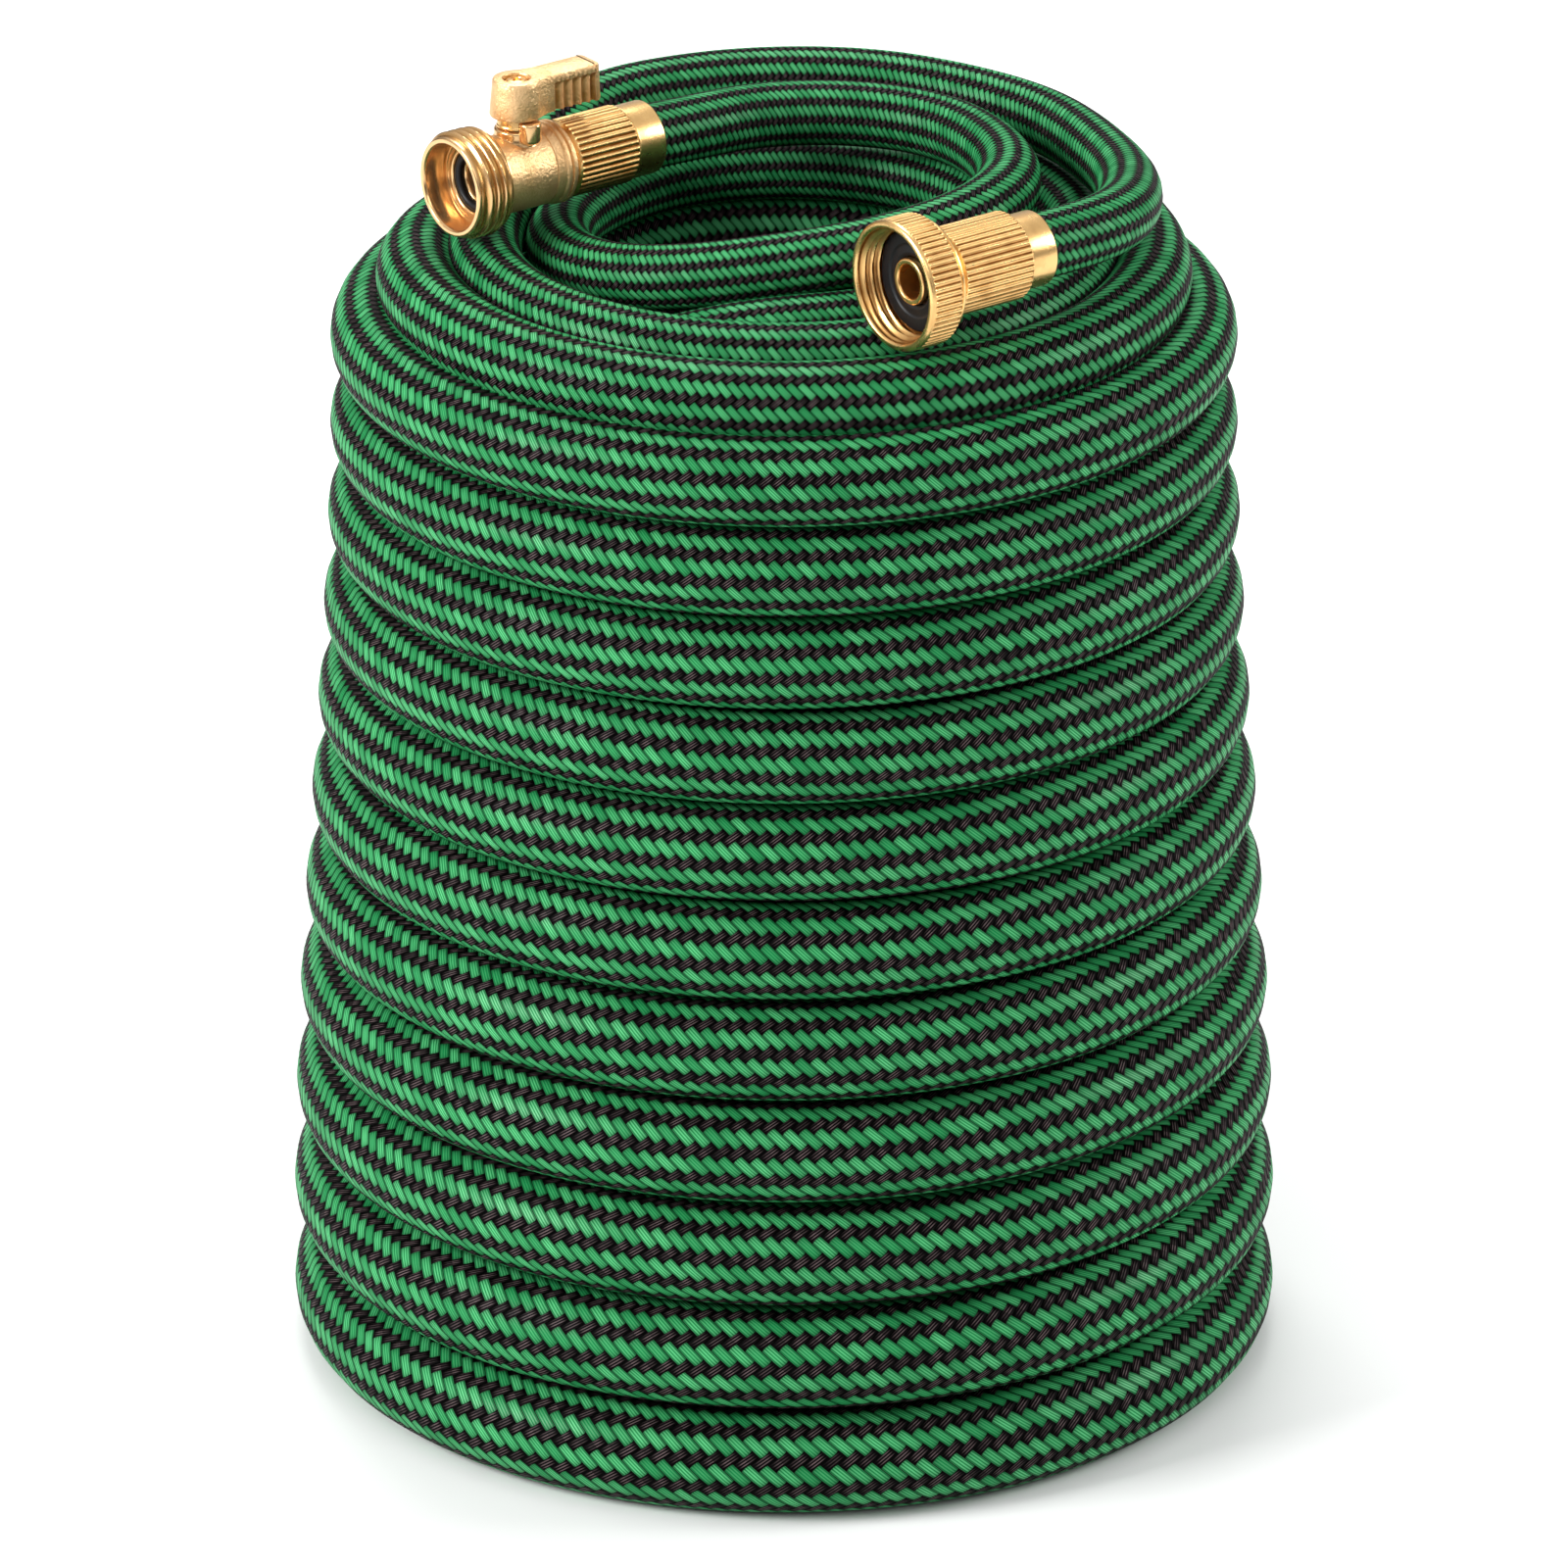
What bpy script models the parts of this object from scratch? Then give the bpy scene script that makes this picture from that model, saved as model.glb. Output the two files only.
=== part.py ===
"""Coiled garden hose with a brass shut-off valve on one end and a swivel
coupling on the other. Metres, +Z up, standing on its bottom turns at z = 0.
The coil's axis is the Z axis, and both fittings' mouths face -X.
"""
import math
from collections import namedtuple

import bmesh
import bpy
from mathutils import Vector

# Clearance between pieces that touch
GAP = 0.0003

# The wound wall: eleven turns, fuller and wider towards the bottom
TURN_COUNT = 11
GIRTH_BOTTOM = 0.0266
GIRTH_TOP = 0.0223
TURN_SPACING_BOTTOM = 0.0282
TURN_SPACING_TOP = 0.0226
OUTER_RADIUS_BOTTOM = 0.1234
OUTER_RADIUS_TOP = 0.1114
BORE_RADIUS_BOTTOM = 0.0510
BORE_RADIUS_TOP = 0.0500
VALLEY_FILL = 0.40
FLOOR_FLAT_ANGLE = math.radians(18)

# The crown: two turns that step in and up from the wall, and the inner shelf
SHOULDER_RADIUS = 0.0900
SHOULDER_RISE = 0.0157
SHOULDER_GIRTH = 0.0205
CROWN_RADIUS = 0.0735
CROWN_RISE = 0.0202
CROWN_GIRTH = 0.0185
SHELF_RISE = 0.0137

# How far a cutter runs past the face that it cuts
OVERCUT = 0.0010

# Facets round the turned pieces, and points along the small arcs
COIL_SEGMENTS = 36
WALL_ARC_POINTS = 3
CROWN_ARC_POINTS = 5
INNER_ARC_POINTS = 1
FITTING_SEGMENTS = 28
NUT_SEGMENTS = 32
SMALL_SEGMENTS = 24
BALL_STEPS = 8
SEAL_STEPS = 8
HUB_STEPS = 16

# The loose loops on top
LOOSE_GIRTH = 0.0162
LOOSE_BEVEL_RESOLUTION = 3
LOOSE_POINT_SPACING = 0.026
LOOSE_STRAIGHT = 0.0025
ROUTE_STEPS = 24

# The valve, measured along its axis from the mouth
VALVE_MOUTH_X = -0.0752
VALVE_AXIS_Y = 0.0351
THREAD_RADIUS = 0.0135
THREAD_PITCH = 0.0022
THREAD_DEPTH = 0.0011
THREAD_CREST_WIDTH = 0.0007
VALVE_THREAD_START = 0.0010
VALVE_THREAD_RIDGES = 4
VALVE_MOUTH_BORE = 0.0108
VALVE_MOUTH_DEPTH = 0.0066
VALVE_STEP_BORE = 0.0078
VALVE_STEP_DEPTH = 0.0022
VALVE_LIP_BORE = 0.0054
VALVE_LIP_LENGTH = 0.0024
VALVE_BODY_RADIUS = 0.0098
VALVE_SHOULDER_RADIUS = 0.0105
VALVE_SHOULDER_LENGTH = 0.0042
GROOVE_HALF_WIDTH = 0.0006
STEM_FROM_MOUTH = 0.0203
BALL_RADIUS = 0.0076
WATERWAY_RADIUS = 0.0042
SEAL_SECTION_RADIUS = 0.0009
BOSS_RADIUS = 0.0058
BOSS_HEIGHT = 0.0115
STEM_SHAFT_RADIUS = 0.0030
STEM_COLLAR_RADIUS = 0.0050
STEM_COLLAR_HEIGHT = 0.0024
STEM_POST_RADIUS = 0.0024
LEVER_THICKNESS = 0.0095
LEVER_HUB_RADIUS = 0.0067
LEVER_LENGTH = 0.0228
LEVER_ARM_WIDTH = 0.0088
LEVER_WAIST = 0.0090
LEVER_TIP_CORNER = 0.0020
LEVER_TIP_DROP = 0.0004
LEVER_HEAD_RECESS = 0.0020
HUB_OPEN_ANGLE = math.radians(110)
STEM_POST_SINK = 0.0010
SCREW_HEAD_RADIUS = 0.0029
SCREW_HEAD_CHAMFER = 0.0007
SCREW_HEAD_HEIGHT = 0.0014
SCREW_SHANK_RADIUS = 0.0010

# The hose end: tail inside the hose, knurled sleeve and smooth ferrule outside
TAIL_RADIUS = 0.0052
TAIL_LENGTH = 0.0130
SLEEVE_FRONT_WALL = 0.0018
SLEEVE_CHAMFER = 0.0008
VALVE_SLEEVE_RADIUS = 0.0098
VALVE_SLEEVE_LENGTH = 0.0187
VALVE_FERRULE_RADIUS = 0.0092
VALVE_FERRULE_LENGTH = 0.0081
COUPLING_SLEEVE_RADIUS = 0.0110
COUPLING_SLEEVE_LENGTH = 0.0215
COUPLING_FERRULE_RADIUS = 0.0093
COUPLING_FERRULE_LENGTH = 0.0080

# The swivel coupling, measured along its axis from the mouth
COUPLING_MOUTH_X = -0.0302
COUPLING_AXIS_Y = -0.0826
NUT_RADIUS = 0.0162
NUT_LENGTH = 0.0116
NUT_RIM_CHAMFER = 0.0009
NUT_BACK_CHAMFER = 0.0018
NUT_BACK_WALL = 0.0018
NUT_THREAD_START = 0.0012
NUT_THREAD_RIDGES = 2
NUT_BORE = 0.0141
FLANGE_RADIUS = 0.0124
FLANGE_THICKNESS = 0.0014
WASHER_THICKNESS = 0.0015
WASHER_RADIUS = 0.0126
NECK_RADIUS = 0.0080
SPIGOT_RADIUS = 0.0058
SPIGOT_LENGTH = 0.0030
COLLAR_RADIUS = 0.0106
COLLAR_LENGTH = 0.0017

# Routes of the two loose loops: azimuth in degrees, distance from the coil's
# axis and height above the inner shelf
VALVE_LOOP = (
    (97, 0.0354, 0.0285), (80, 0.0370, 0.0278), (60, 0.0425, 0.0264),
    (30, 0.0490, 0.0256), (0, 0.0540, 0.0253), (-37, 0.0557, 0.0254),
    (-70, 0.0520, 0.0248), (-100, 0.0460, 0.0222), (-127, 0.0425, 0.0190),
    (-150, 0.0428, 0.0155), (-172, 0.0465, 0.0120), (-195, 0.0515, 0.0088),
    (-217, 0.0555, 0.0077), (-240, 0.0560, 0.0077), (-275, 0.0560, 0.0077),
    (-310, 0.0560, 0.0077), (-345, 0.0560, 0.0077), (-380, 0.0560, 0.0077),
    (-415, 0.0560, 0.0077), (-450, 0.0560, 0.0077), (-488, 0.0560, 0.0077),
)
COUPLING_LOOP = (
    (-71, 0.0873, 0.0297), (-59, 0.0880, 0.0280), (-45, 0.0850, 0.0255),
    (-30, 0.0822, 0.0236), (0, 0.0800, 0.0230), (30, 0.0770, 0.0236),
    (53, 0.0740, 0.0241), (72, 0.0730, 0.0241), (88, 0.0730, 0.0241),
)

HOSE_GREEN = (0.020, 0.300, 0.090, 1.0)
BRASS_GOLD = (0.780, 0.520, 0.220, 1.0)
SATIN_BRASS = (0.700, 0.500, 0.270, 1.0)
CHROME_GREY = (0.750, 0.750, 0.760, 1.0)
RUBBER_BLACK = (0.012, 0.012, 0.013, 1.0)


def blend(first, last, share):
    return first + (last - first) * share


def material(name, colour, roughness, metallic):
    made = bpy.data.materials.new(name)
    made.use_nodes = True
    shader = made.node_tree.nodes["Principled BSDF"]
    shader.inputs["Base Color"].default_value = colour
    shader.inputs["Roughness"].default_value = roughness
    shader.inputs["Metallic"].default_value = metallic
    return made


def add_object(name, mesh, finish, location=(0, 0, 0), rotation=(0, 0, 0)):
    made = bpy.data.objects.new(name, mesh)
    bpy.context.collection.objects.link(made)
    made.location = location
    made.rotation_euler = rotation
    if finish:
        mesh.materials.append(finish)
    return made


def shade_round(mesh, angle=35):
    mesh.shade_smooth()
    mesh.set_sharp_from_angle(angle=math.radians(angle))


def turned_mesh(name, profile, segments):
    """Turn a profile of (radius, height) points about the Z axis. A profile that
    starts and ends on the axis makes a solid piece, any other a ring.
    """
    bm = bmesh.new()
    verts = [bm.verts.new((radius, 0, height)) for radius, height in profile]
    on_axis = profile[0][0] == 0 and profile[-1][0] == 0
    pairs = list(zip(verts, verts[1:]))
    if not on_axis:
        pairs.append((verts[-1], verts[0]))
    edges = [bm.edges.new(pair) for pair in pairs]
    bmesh.ops.spin(bm, geom=verts + edges, cent=(0, 0, 0), axis=(0, 0, 1), dvec=(0, 0, 0),
                   angle=2 * math.pi, steps=segments, use_merge=True, use_duplicate=False)
    bmesh.ops.remove_doubles(bm, verts=bm.verts, dist=1e-6)
    bmesh.ops.recalc_face_normals(bm, faces=bm.faces)
    mesh = bpy.data.meshes.new(name)
    bm.to_mesh(mesh)
    bm.free()
    shade_round(mesh)
    return mesh


def hide_cutter(cutter):
    cutter.hide_render = True
    cutter.hide_viewport = False
    cutter.display_type = "WIRE"
    return cutter


def add_boolean(target, tool, operation):
    step = target.modifiers.new(operation.lower(), "BOOLEAN")
    step.operation = operation
    step.object = tool
    step.solver = "EXACT"


# The coil as a closed chain of round sections


def wall_turns():
    """Centre radius, height and section radius of each turn, bottom first."""
    turns = []
    height = GIRTH_BOTTOM / 2
    for index in range(TURN_COUNT):
        share = index / (TURN_COUNT - 1)
        girth = blend(GIRTH_BOTTOM, GIRTH_TOP, share)
        ease = 0.5 - 0.5 * math.cos(math.pi * share)
        outer = blend(OUTER_RADIUS_BOTTOM, OUTER_RADIUS_TOP, ease)
        turns.append((outer - girth / 2, height, girth / 2))
        height += blend(TURN_SPACING_BOTTOM, TURN_SPACING_TOP, (index + 0.5) / (TURN_COUNT - 1))
    return turns


def inner_turn(index, turns):
    """The innermost turn level with wall turn number index."""
    share = index / (TURN_COUNT - 1)
    bore = blend(BORE_RADIUS_BOTTOM, BORE_RADIUS_TOP, share)
    return (bore + turns[index][2], turns[index][1], turns[index][2])


def top_height(turns):
    return turns[-1][1]


def shelf_height(turns):
    return top_height(turns) + SHELF_RISE


def crown_turns(turns):
    shoulder = (SHOULDER_RADIUS, top_height(turns) + SHOULDER_RISE, SHOULDER_GIRTH / 2)
    crown = (CROWN_RADIUS, top_height(turns) + CROWN_RISE, CROWN_GIRTH / 2)
    return [shoulder, crown]


def valley(first, second):
    """Where two neighbouring sections meet, on the right of the way between them."""
    start = Vector(first[:2])
    way = Vector(second[:2]) - start
    distance = way.length
    way.normalize()
    if distance < first[2] + second[2]:
        along = (distance ** 2 + first[2] ** 2 - second[2] ** 2) / (2 * distance)
    else:
        along = first[2] + (distance - first[2] - second[2]) / 2
    out = math.sqrt(max(first[2] ** 2 - along ** 2, (VALLEY_FILL * first[2]) ** 2))
    return start + way * along + Vector((way.y, -way.x)) * out


def arc_angles(start, end, count):
    """Angles of count points between two directions, turning left."""
    while end < start:
        end += 2 * math.pi
    return [start + (end - start) * (step + 1) / (count + 1) for step in range(count)]


def flatten_to_floor(points, section):
    """Press the lowest part of a bottom section flat on the floor."""
    limit = section[2] * (1 - math.cos(FLOOR_FLAT_ANGLE)) + 1e-5
    return [(r, 0.0) if z < limit else (r, z) for r, z in points]


def coil_profile():
    turns = wall_turns()
    inner = [inner_turn(index, turns) for index in range(TURN_COUNT)]
    middle = ((inner[0][0] + turns[0][0]) / 2, turns[0][1], turns[0][2])
    shelf = (inner[-1][0], shelf_height(turns) - inner[-1][2], inner[-1][2])
    chain = [inner[0], middle, *turns, *crown_turns(turns), shelf, *reversed(inner[1:-1])]
    crown_start = chain.index(turns[-1])
    crown_end = chain.index(shelf) + 1
    floor_angles = (-math.pi / 2 - FLOOR_FLAT_ANGLE, -math.pi / 2 + FLOOR_FLAT_ANGLE)
    profile = []
    for index, section in enumerate(chain):
        before = valley(chain[index - 1], section)
        after = valley(section, chain[(index + 1) % len(chain)])
        centre = Vector(section[:2])
        start = math.atan2(before.y - centre.y, before.x - centre.x)
        end = math.atan2(after.y - centre.y, after.x - centre.x)
        points = [tuple(before)]
        if index < 3:
            turn_end = 0 if index == 2 else end
            angles = [blend(start, floor_angles[0], 0.5), *floor_angles]
            angles += arc_angles(floor_angles[1], turn_end, 2 if index == 2 else 1)
            angles += [turn_end, turn_end + blend(0, end, 0.5)] if index == 2 else []
        elif index < crown_start:
            angles = arc_angles(start, end, WALL_ARC_POINTS)
        elif index < crown_end:
            angles = arc_angles(start, end, CROWN_ARC_POINTS)
        else:
            angles = arc_angles(start, end, INNER_ARC_POINTS)
        for angle in angles:
            points.append((centre.x + section[2] * math.cos(angle), centre.y + section[2] * math.sin(angle)))
        profile += flatten_to_floor(points, section) if index < 3 else points
    return profile


def make_coil(finish):
    mesh = turned_mesh("hose_coil", coil_profile(), COIL_SEGMENTS)
    return add_object("hose_coil", mesh, finish)


def rest_height(radius, along_x, axis_y, rings):
    """Lowest axis height at which a level round piece clears the rings under it."""
    height = 0.0
    for x in along_x:
        distance = math.hypot(x, axis_y)
        for ring_radius, ring_height, section in rings:
            reach = radius + section + GAP
            offset = abs(distance - ring_radius)
            if offset < reach:
                height = max(height, ring_height + math.sqrt(reach ** 2 - offset ** 2))
    return height


def span(start, length, steps=8):
    return [start + length * step / steps for step in range(steps + 1)]


# Loose loops


def smooth_route(points, spacing):
    """Points at an even spacing on a smooth curve through the route's points."""
    padded = [2 * points[0] - points[1], *points, 2 * points[-1] - points[-2]]
    fine = []
    for index in range(1, len(padded) - 2):
        p0, p1, p2, p3 = padded[index - 1:index + 3]
        for step in range(ROUTE_STEPS):
            t = step / ROUTE_STEPS
            fine.append(0.5 * (2 * p1 + (p2 - p0) * t + (2 * p0 - 5 * p1 + 4 * p2 - p3) * t ** 2
                               + (3 * p1 - p0 - 3 * p2 + p3) * t ** 3))
    fine.append(padded[-2])
    lengths = [0.0]
    for first, second in zip(fine, fine[1:]):
        lengths.append(lengths[-1] + (second - first).length)
    count = max(2, round(lengths[-1] / spacing))
    route = []
    index = 0
    for step in range(count + 1):
        wanted = lengths[-1] * step / count
        while index < len(lengths) - 2 and lengths[index + 1] < wanted:
            index += 1
        share = (wanted - lengths[index]) / (lengths[index + 1] - lengths[index])
        route.append(fine[index].lerp(fine[index + 1], share))
    return route


def polar_point(azimuth, distance, height):
    angle = math.radians(azimuth)
    return Vector((distance * math.cos(angle), distance * math.sin(angle), height))


def make_loop(name, start, exit_x, route, base, finish):
    """A bevelled curve: straight inside its sleeve, then round the given route."""
    points = [Vector((exit_x + LOOSE_STRAIGHT, start.y, start.z))]
    points += [polar_point(azimuth, distance, base + rise) for azimuth, distance, rise in route]
    curve = bpy.data.curves.new(name, "CURVE")
    curve.dimensions = "3D"
    curve.bevel_depth = LOOSE_GIRTH / 2
    curve.bevel_resolution = LOOSE_BEVEL_RESOLUTION
    curve.render_resolution_u = 0
    curve.use_fill_caps = True
    centre_line = [start, *smooth_route(points, LOOSE_POINT_SPACING)]
    spline = curve.splines.new("POLY")
    spline.points.add(len(centre_line) - 1)
    for point, place in zip(spline.points, centre_line):
        point.co = (*place, 1)
    spline.use_smooth = True
    return add_object(name, curve, finish)


# Fittings: each profile is (radius, distance from the mouth)


def thread_points(start, ridges, crest, root):
    """Zigzag of a thread seen in section, away from the mouth."""
    flank = (THREAD_PITCH - THREAD_CREST_WIDTH) / 2
    points = []
    for ridge in range(ridges):
        foot = start + ridge * THREAD_PITCH
        points += [(root, foot), (crest, foot + flank), (crest, foot + flank + THREAD_CREST_WIDTH)]
    points.append((root, start + ridges * THREAD_PITCH))
    return points


def place_on_axis(name, profile, finish, mouth, segments=FITTING_SEGMENTS):
    mesh = turned_mesh(name, profile, segments)
    return add_object(name, mesh, finish, location=mouth, rotation=(0, math.pi / 2, 0))


def upright(name, profile, finish, foot, segments=20):
    return add_object(name, turned_mesh(name, profile, segments), finish, location=foot)


def rod_profile(radius, height):
    return [(0, 0), (radius, 0), (radius, height), (0, height)]


def sleeve_profile(start, radius, length, ferrule_radius, ferrule_length):
    """Knurled sleeve with a smooth ferrule, round the tail in front and the hose behind."""
    end = start + length
    tail_bore = TAIL_RADIUS + GAP
    hose_bore = LOOSE_GIRTH / 2 + GAP
    return [
        (tail_bore, start), (radius - SLEEVE_CHAMFER, start), (radius, start + SLEEVE_CHAMFER),
        (radius, end - SLEEVE_CHAMFER), (radius - SLEEVE_CHAMFER, end), (ferrule_radius, end),
        (ferrule_radius, end + ferrule_length - SLEEVE_CHAMFER / 2),
        (ferrule_radius - SLEEVE_CHAMFER / 2, end + ferrule_length),
        (hose_bore, end + ferrule_length), (hose_bore, start + SLEEVE_FRONT_WALL),
        (tail_bore, start + SLEEVE_FRONT_WALL),
    ]


def valve_marks():
    """Distances from the mouth that the valve's pieces share."""
    step = VALVE_MOUTH_DEPTH + VALVE_STEP_DEPTH
    lip_end = step + VALVE_LIP_LENGTH
    body_end = STEM_FROM_MOUTH + BALL_RADIUS + GAP
    sleeve_start = body_end + VALVE_SHOULDER_LENGTH
    return step, lip_end, body_end, sleeve_start


def make_valve(brass, mouth):
    """Forged body: solid outside with its boss, then the waterway and stem bore cut."""
    step, lip_end, body_end, sleeve_start = valve_marks()
    cavity = BALL_RADIUS + GAP
    thread_root = THREAD_RADIUS - THREAD_DEPTH
    thread_end = VALVE_THREAD_START + VALVE_THREAD_RIDGES * THREAD_PITCH
    groove = body_end + VALVE_SHOULDER_LENGTH / 2
    tail_end = sleeve_start + TAIL_LENGTH
    outside = [
        (0, 0), (thread_root, 0),
        *thread_points(VALVE_THREAD_START, VALVE_THREAD_RIDGES, THREAD_RADIUS, thread_root),
        (VALVE_BODY_RADIUS, thread_end + THREAD_PITCH / 4), (VALVE_BODY_RADIUS, body_end),
        (VALVE_SHOULDER_RADIUS, body_end + GAP), (VALVE_SHOULDER_RADIUS, groove - GROOVE_HALF_WIDTH),
        (VALVE_BODY_RADIUS, groove), (VALVE_SHOULDER_RADIUS, groove + GROOVE_HALF_WIDTH),
        (VALVE_SHOULDER_RADIUS, sleeve_start - GAP), (TAIL_RADIUS, sleeve_start - GAP),
        (TAIL_RADIUS, tail_end), (0, tail_end),
    ]
    inside = [
        (0, -OVERCUT), (VALVE_MOUTH_BORE, -OVERCUT), (VALVE_MOUTH_BORE, VALVE_MOUTH_DEPTH),
        (VALVE_STEP_BORE, VALVE_MOUTH_DEPTH), (VALVE_STEP_BORE, step), (VALVE_LIP_BORE, step),
        (VALVE_LIP_BORE, lip_end), (cavity, lip_end), (cavity, body_end), (WATERWAY_RADIUS, body_end),
        (WATERWAY_RADIUS, tail_end + OVERCUT), (0, tail_end + OVERCUT),
    ]
    body = place_on_axis("valve_body", outside, brass, mouth)
    foot = mouth + Vector((STEM_FROM_MOUTH, 0, 0))
    boss = upright("boss_guide", rod_profile(BOSS_RADIUS, BOSS_HEIGHT), None, foot, SMALL_SEGMENTS)
    waterway = place_on_axis("waterway_cutter", inside, None, mouth)
    bore_profile = rod_profile(STEM_SHAFT_RADIUS + GAP, BOSS_HEIGHT + OVERCUT)
    bore = upright("stem_bore_cutter", bore_profile, None, foot)
    add_boolean(body, hide_cutter(boss), "UNION")
    add_boolean(body, hide_cutter(waterway), "DIFFERENCE")
    add_boolean(body, hide_cutter(bore), "DIFFERENCE")
    return body


def make_ball(chrome, mouth):
    """Ball with its waterway along the valve's axis."""
    half = math.sqrt(BALL_RADIUS ** 2 - WATERWAY_RADIUS ** 2)
    edge = math.atan2(half, WATERWAY_RADIUS)
    profile = []
    for index in range(BALL_STEPS + 1):
        angle = blend(-edge, edge, index / BALL_STEPS)
        profile.append((BALL_RADIUS * math.cos(angle), BALL_RADIUS * math.sin(angle)))
    centre = mouth + Vector((STEM_FROM_MOUTH, 0, 0))
    return place_on_axis("valve_ball", profile, chrome, centre, SMALL_SEGMENTS)


def make_seal(rubber, mouth):
    """Round seal that lies in the step behind the mouth, against the lip."""
    ring_radius = VALVE_STEP_BORE - SEAL_SECTION_RADIUS - GAP
    centre = VALVE_MOUTH_DEPTH + VALVE_STEP_DEPTH - SEAL_SECTION_RADIUS - GAP
    profile = []
    for index in range(SEAL_STEPS):
        angle = 2 * math.pi * index / SEAL_STEPS
        profile.append((ring_radius + SEAL_SECTION_RADIUS * math.cos(angle),
                        centre + SEAL_SECTION_RADIUS * math.sin(angle)))
    return place_on_axis("valve_seal", profile, rubber, mouth, SMALL_SEGMENTS)


LeverMarks = namedtuple("LeverMarks", "collar_foot lever_foot lever_top recess post_top")


def lever_marks():
    """Heights above the valve's axis that the stem, lever and screw share."""
    collar_foot = BOSS_HEIGHT + GAP
    lever_foot = collar_foot + STEM_COLLAR_HEIGHT + GAP
    lever_top = lever_foot + LEVER_THICKNESS
    recess = lever_top - LEVER_HEAD_RECESS
    return LeverMarks(collar_foot, lever_foot, lever_top, recess, recess - STEM_POST_SINK)


def make_stem(brass, foot):
    marks = lever_marks()
    shaft_foot = BALL_RADIUS + GAP
    collar_top = marks.lever_foot - GAP
    pilot = SCREW_SHANK_RADIUS + GAP
    pilot_foot = marks.lever_foot + GAP
    profile = [
        (0, shaft_foot), (STEM_SHAFT_RADIUS, shaft_foot), (STEM_SHAFT_RADIUS, marks.collar_foot),
        (STEM_COLLAR_RADIUS, marks.collar_foot), (STEM_COLLAR_RADIUS, collar_top),
        (STEM_POST_RADIUS, collar_top), (STEM_POST_RADIUS, marks.post_top), (pilot, marks.post_top),
        (pilot, pilot_foot), (0, pilot_foot),
    ]
    return upright("valve_stem", profile, brass, foot)


def make_screw(brass, foot):
    marks = lever_marks()
    shank_foot = marks.lever_foot + 2 * GAP
    head_foot = marks.recess + GAP
    head_top = head_foot + SCREW_HEAD_HEIGHT
    profile = [
        (0, shank_foot), (SCREW_SHANK_RADIUS, shank_foot), (SCREW_SHANK_RADIUS, head_foot),
        (SCREW_HEAD_RADIUS, head_foot), (SCREW_HEAD_RADIUS, head_top - SCREW_HEAD_CHAMFER),
        (SCREW_HEAD_RADIUS - SCREW_HEAD_CHAMFER, head_top), (0, head_top),
    ]
    return upright("lever_screw", profile, brass, foot)


def lever_outline():
    """Round hub running into a straight arm towards +X, turning left."""
    points = []
    for index in range(HUB_STEPS + 1):
        angle = blend(HUB_OPEN_ANGLE / 2, 2 * math.pi - HUB_OPEN_ANGLE / 2, index / HUB_STEPS)
        points.append((LEVER_HUB_RADIUS * math.cos(angle), LEVER_HUB_RADIUS * math.sin(angle)))
    half = LEVER_ARM_WIDTH / 2
    cut = LEVER_TIP_CORNER * (1 - math.sqrt(0.5))
    tip = [
        (LEVER_WAIST, -half), (LEVER_LENGTH - LEVER_TIP_CORNER, -half), (LEVER_LENGTH - cut, -half + cut),
        (LEVER_LENGTH, -half + LEVER_TIP_CORNER),
    ]
    return points + tip + [(x, -y) for x, y in reversed(tip)]


def make_lever(brass, foot):
    marks = lever_marks()
    bm = bmesh.new()
    base = bm.faces.new([bm.verts.new((x, y, marks.lever_foot)) for x, y in lever_outline()])
    raised = bmesh.ops.extrude_face_region(bm, geom=[base])["geom"]
    for item in raised:
        if isinstance(item, bmesh.types.BMVert):
            slope = max(0.0, item.co.x - LEVER_HUB_RADIUS) / (LEVER_LENGTH - LEVER_HUB_RADIUS)
            item.co.z = marks.lever_top - LEVER_TIP_DROP * slope
    bmesh.ops.recalc_face_normals(bm, faces=bm.faces)
    mesh = bpy.data.meshes.new("valve_lever")
    bm.to_mesh(mesh)
    bm.free()
    shade_round(mesh)
    lever = add_object("valve_lever", mesh, brass, location=foot)
    post_bore = STEM_POST_RADIUS + GAP
    head_bore = SCREW_HEAD_RADIUS + GAP
    below = marks.lever_foot - OVERCUT
    above = marks.lever_top + OVERCUT
    cutter = upright("post_bore_cutter", [
        (0, below), (post_bore, below), (post_bore, marks.recess),
        (head_bore, marks.recess), (head_bore, above), (0, above)], None, foot)
    add_boolean(lever, hide_cutter(cutter), "DIFFERENCE")
    return lever


CouplingMarks = namedtuple("CouplingMarks", [
    "wall_start", "flange_start", "flange_end", "washer_start", "collar_start", "sleeve_start"])


def coupling_marks():
    """Distances from the coupling's mouth that its pieces share."""
    wall_start = NUT_LENGTH - NUT_BACK_WALL
    flange_end = wall_start - GAP
    flange_start = flange_end - FLANGE_THICKNESS
    washer_start = flange_start - GAP - WASHER_THICKNESS
    collar_start = NUT_LENGTH + GAP
    sleeve_start = collar_start + COLLAR_LENGTH + GAP
    return CouplingMarks(wall_start, flange_start, flange_end, washer_start, collar_start, sleeve_start)


def make_nut(brass, mouth):
    marks = coupling_marks()
    neck_bore = NECK_RADIUS + GAP
    ridges = thread_points(NUT_THREAD_START, NUT_THREAD_RIDGES, NUT_BORE - THREAD_DEPTH, NUT_BORE)
    profile = [
        (NUT_RADIUS - NUT_RIM_CHAMFER, 0), (NUT_RADIUS, NUT_RIM_CHAMFER),
        (NUT_RADIUS, NUT_LENGTH - NUT_BACK_CHAMFER), (NUT_RADIUS - NUT_BACK_CHAMFER, NUT_LENGTH),
        (neck_bore, NUT_LENGTH), (neck_bore, marks.wall_start), (NUT_BORE, marks.wall_start),
        *reversed(ridges), (NUT_BORE, 0),
    ]
    return place_on_axis("swivel_nut", profile, brass, mouth, NUT_SEGMENTS)


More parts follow.
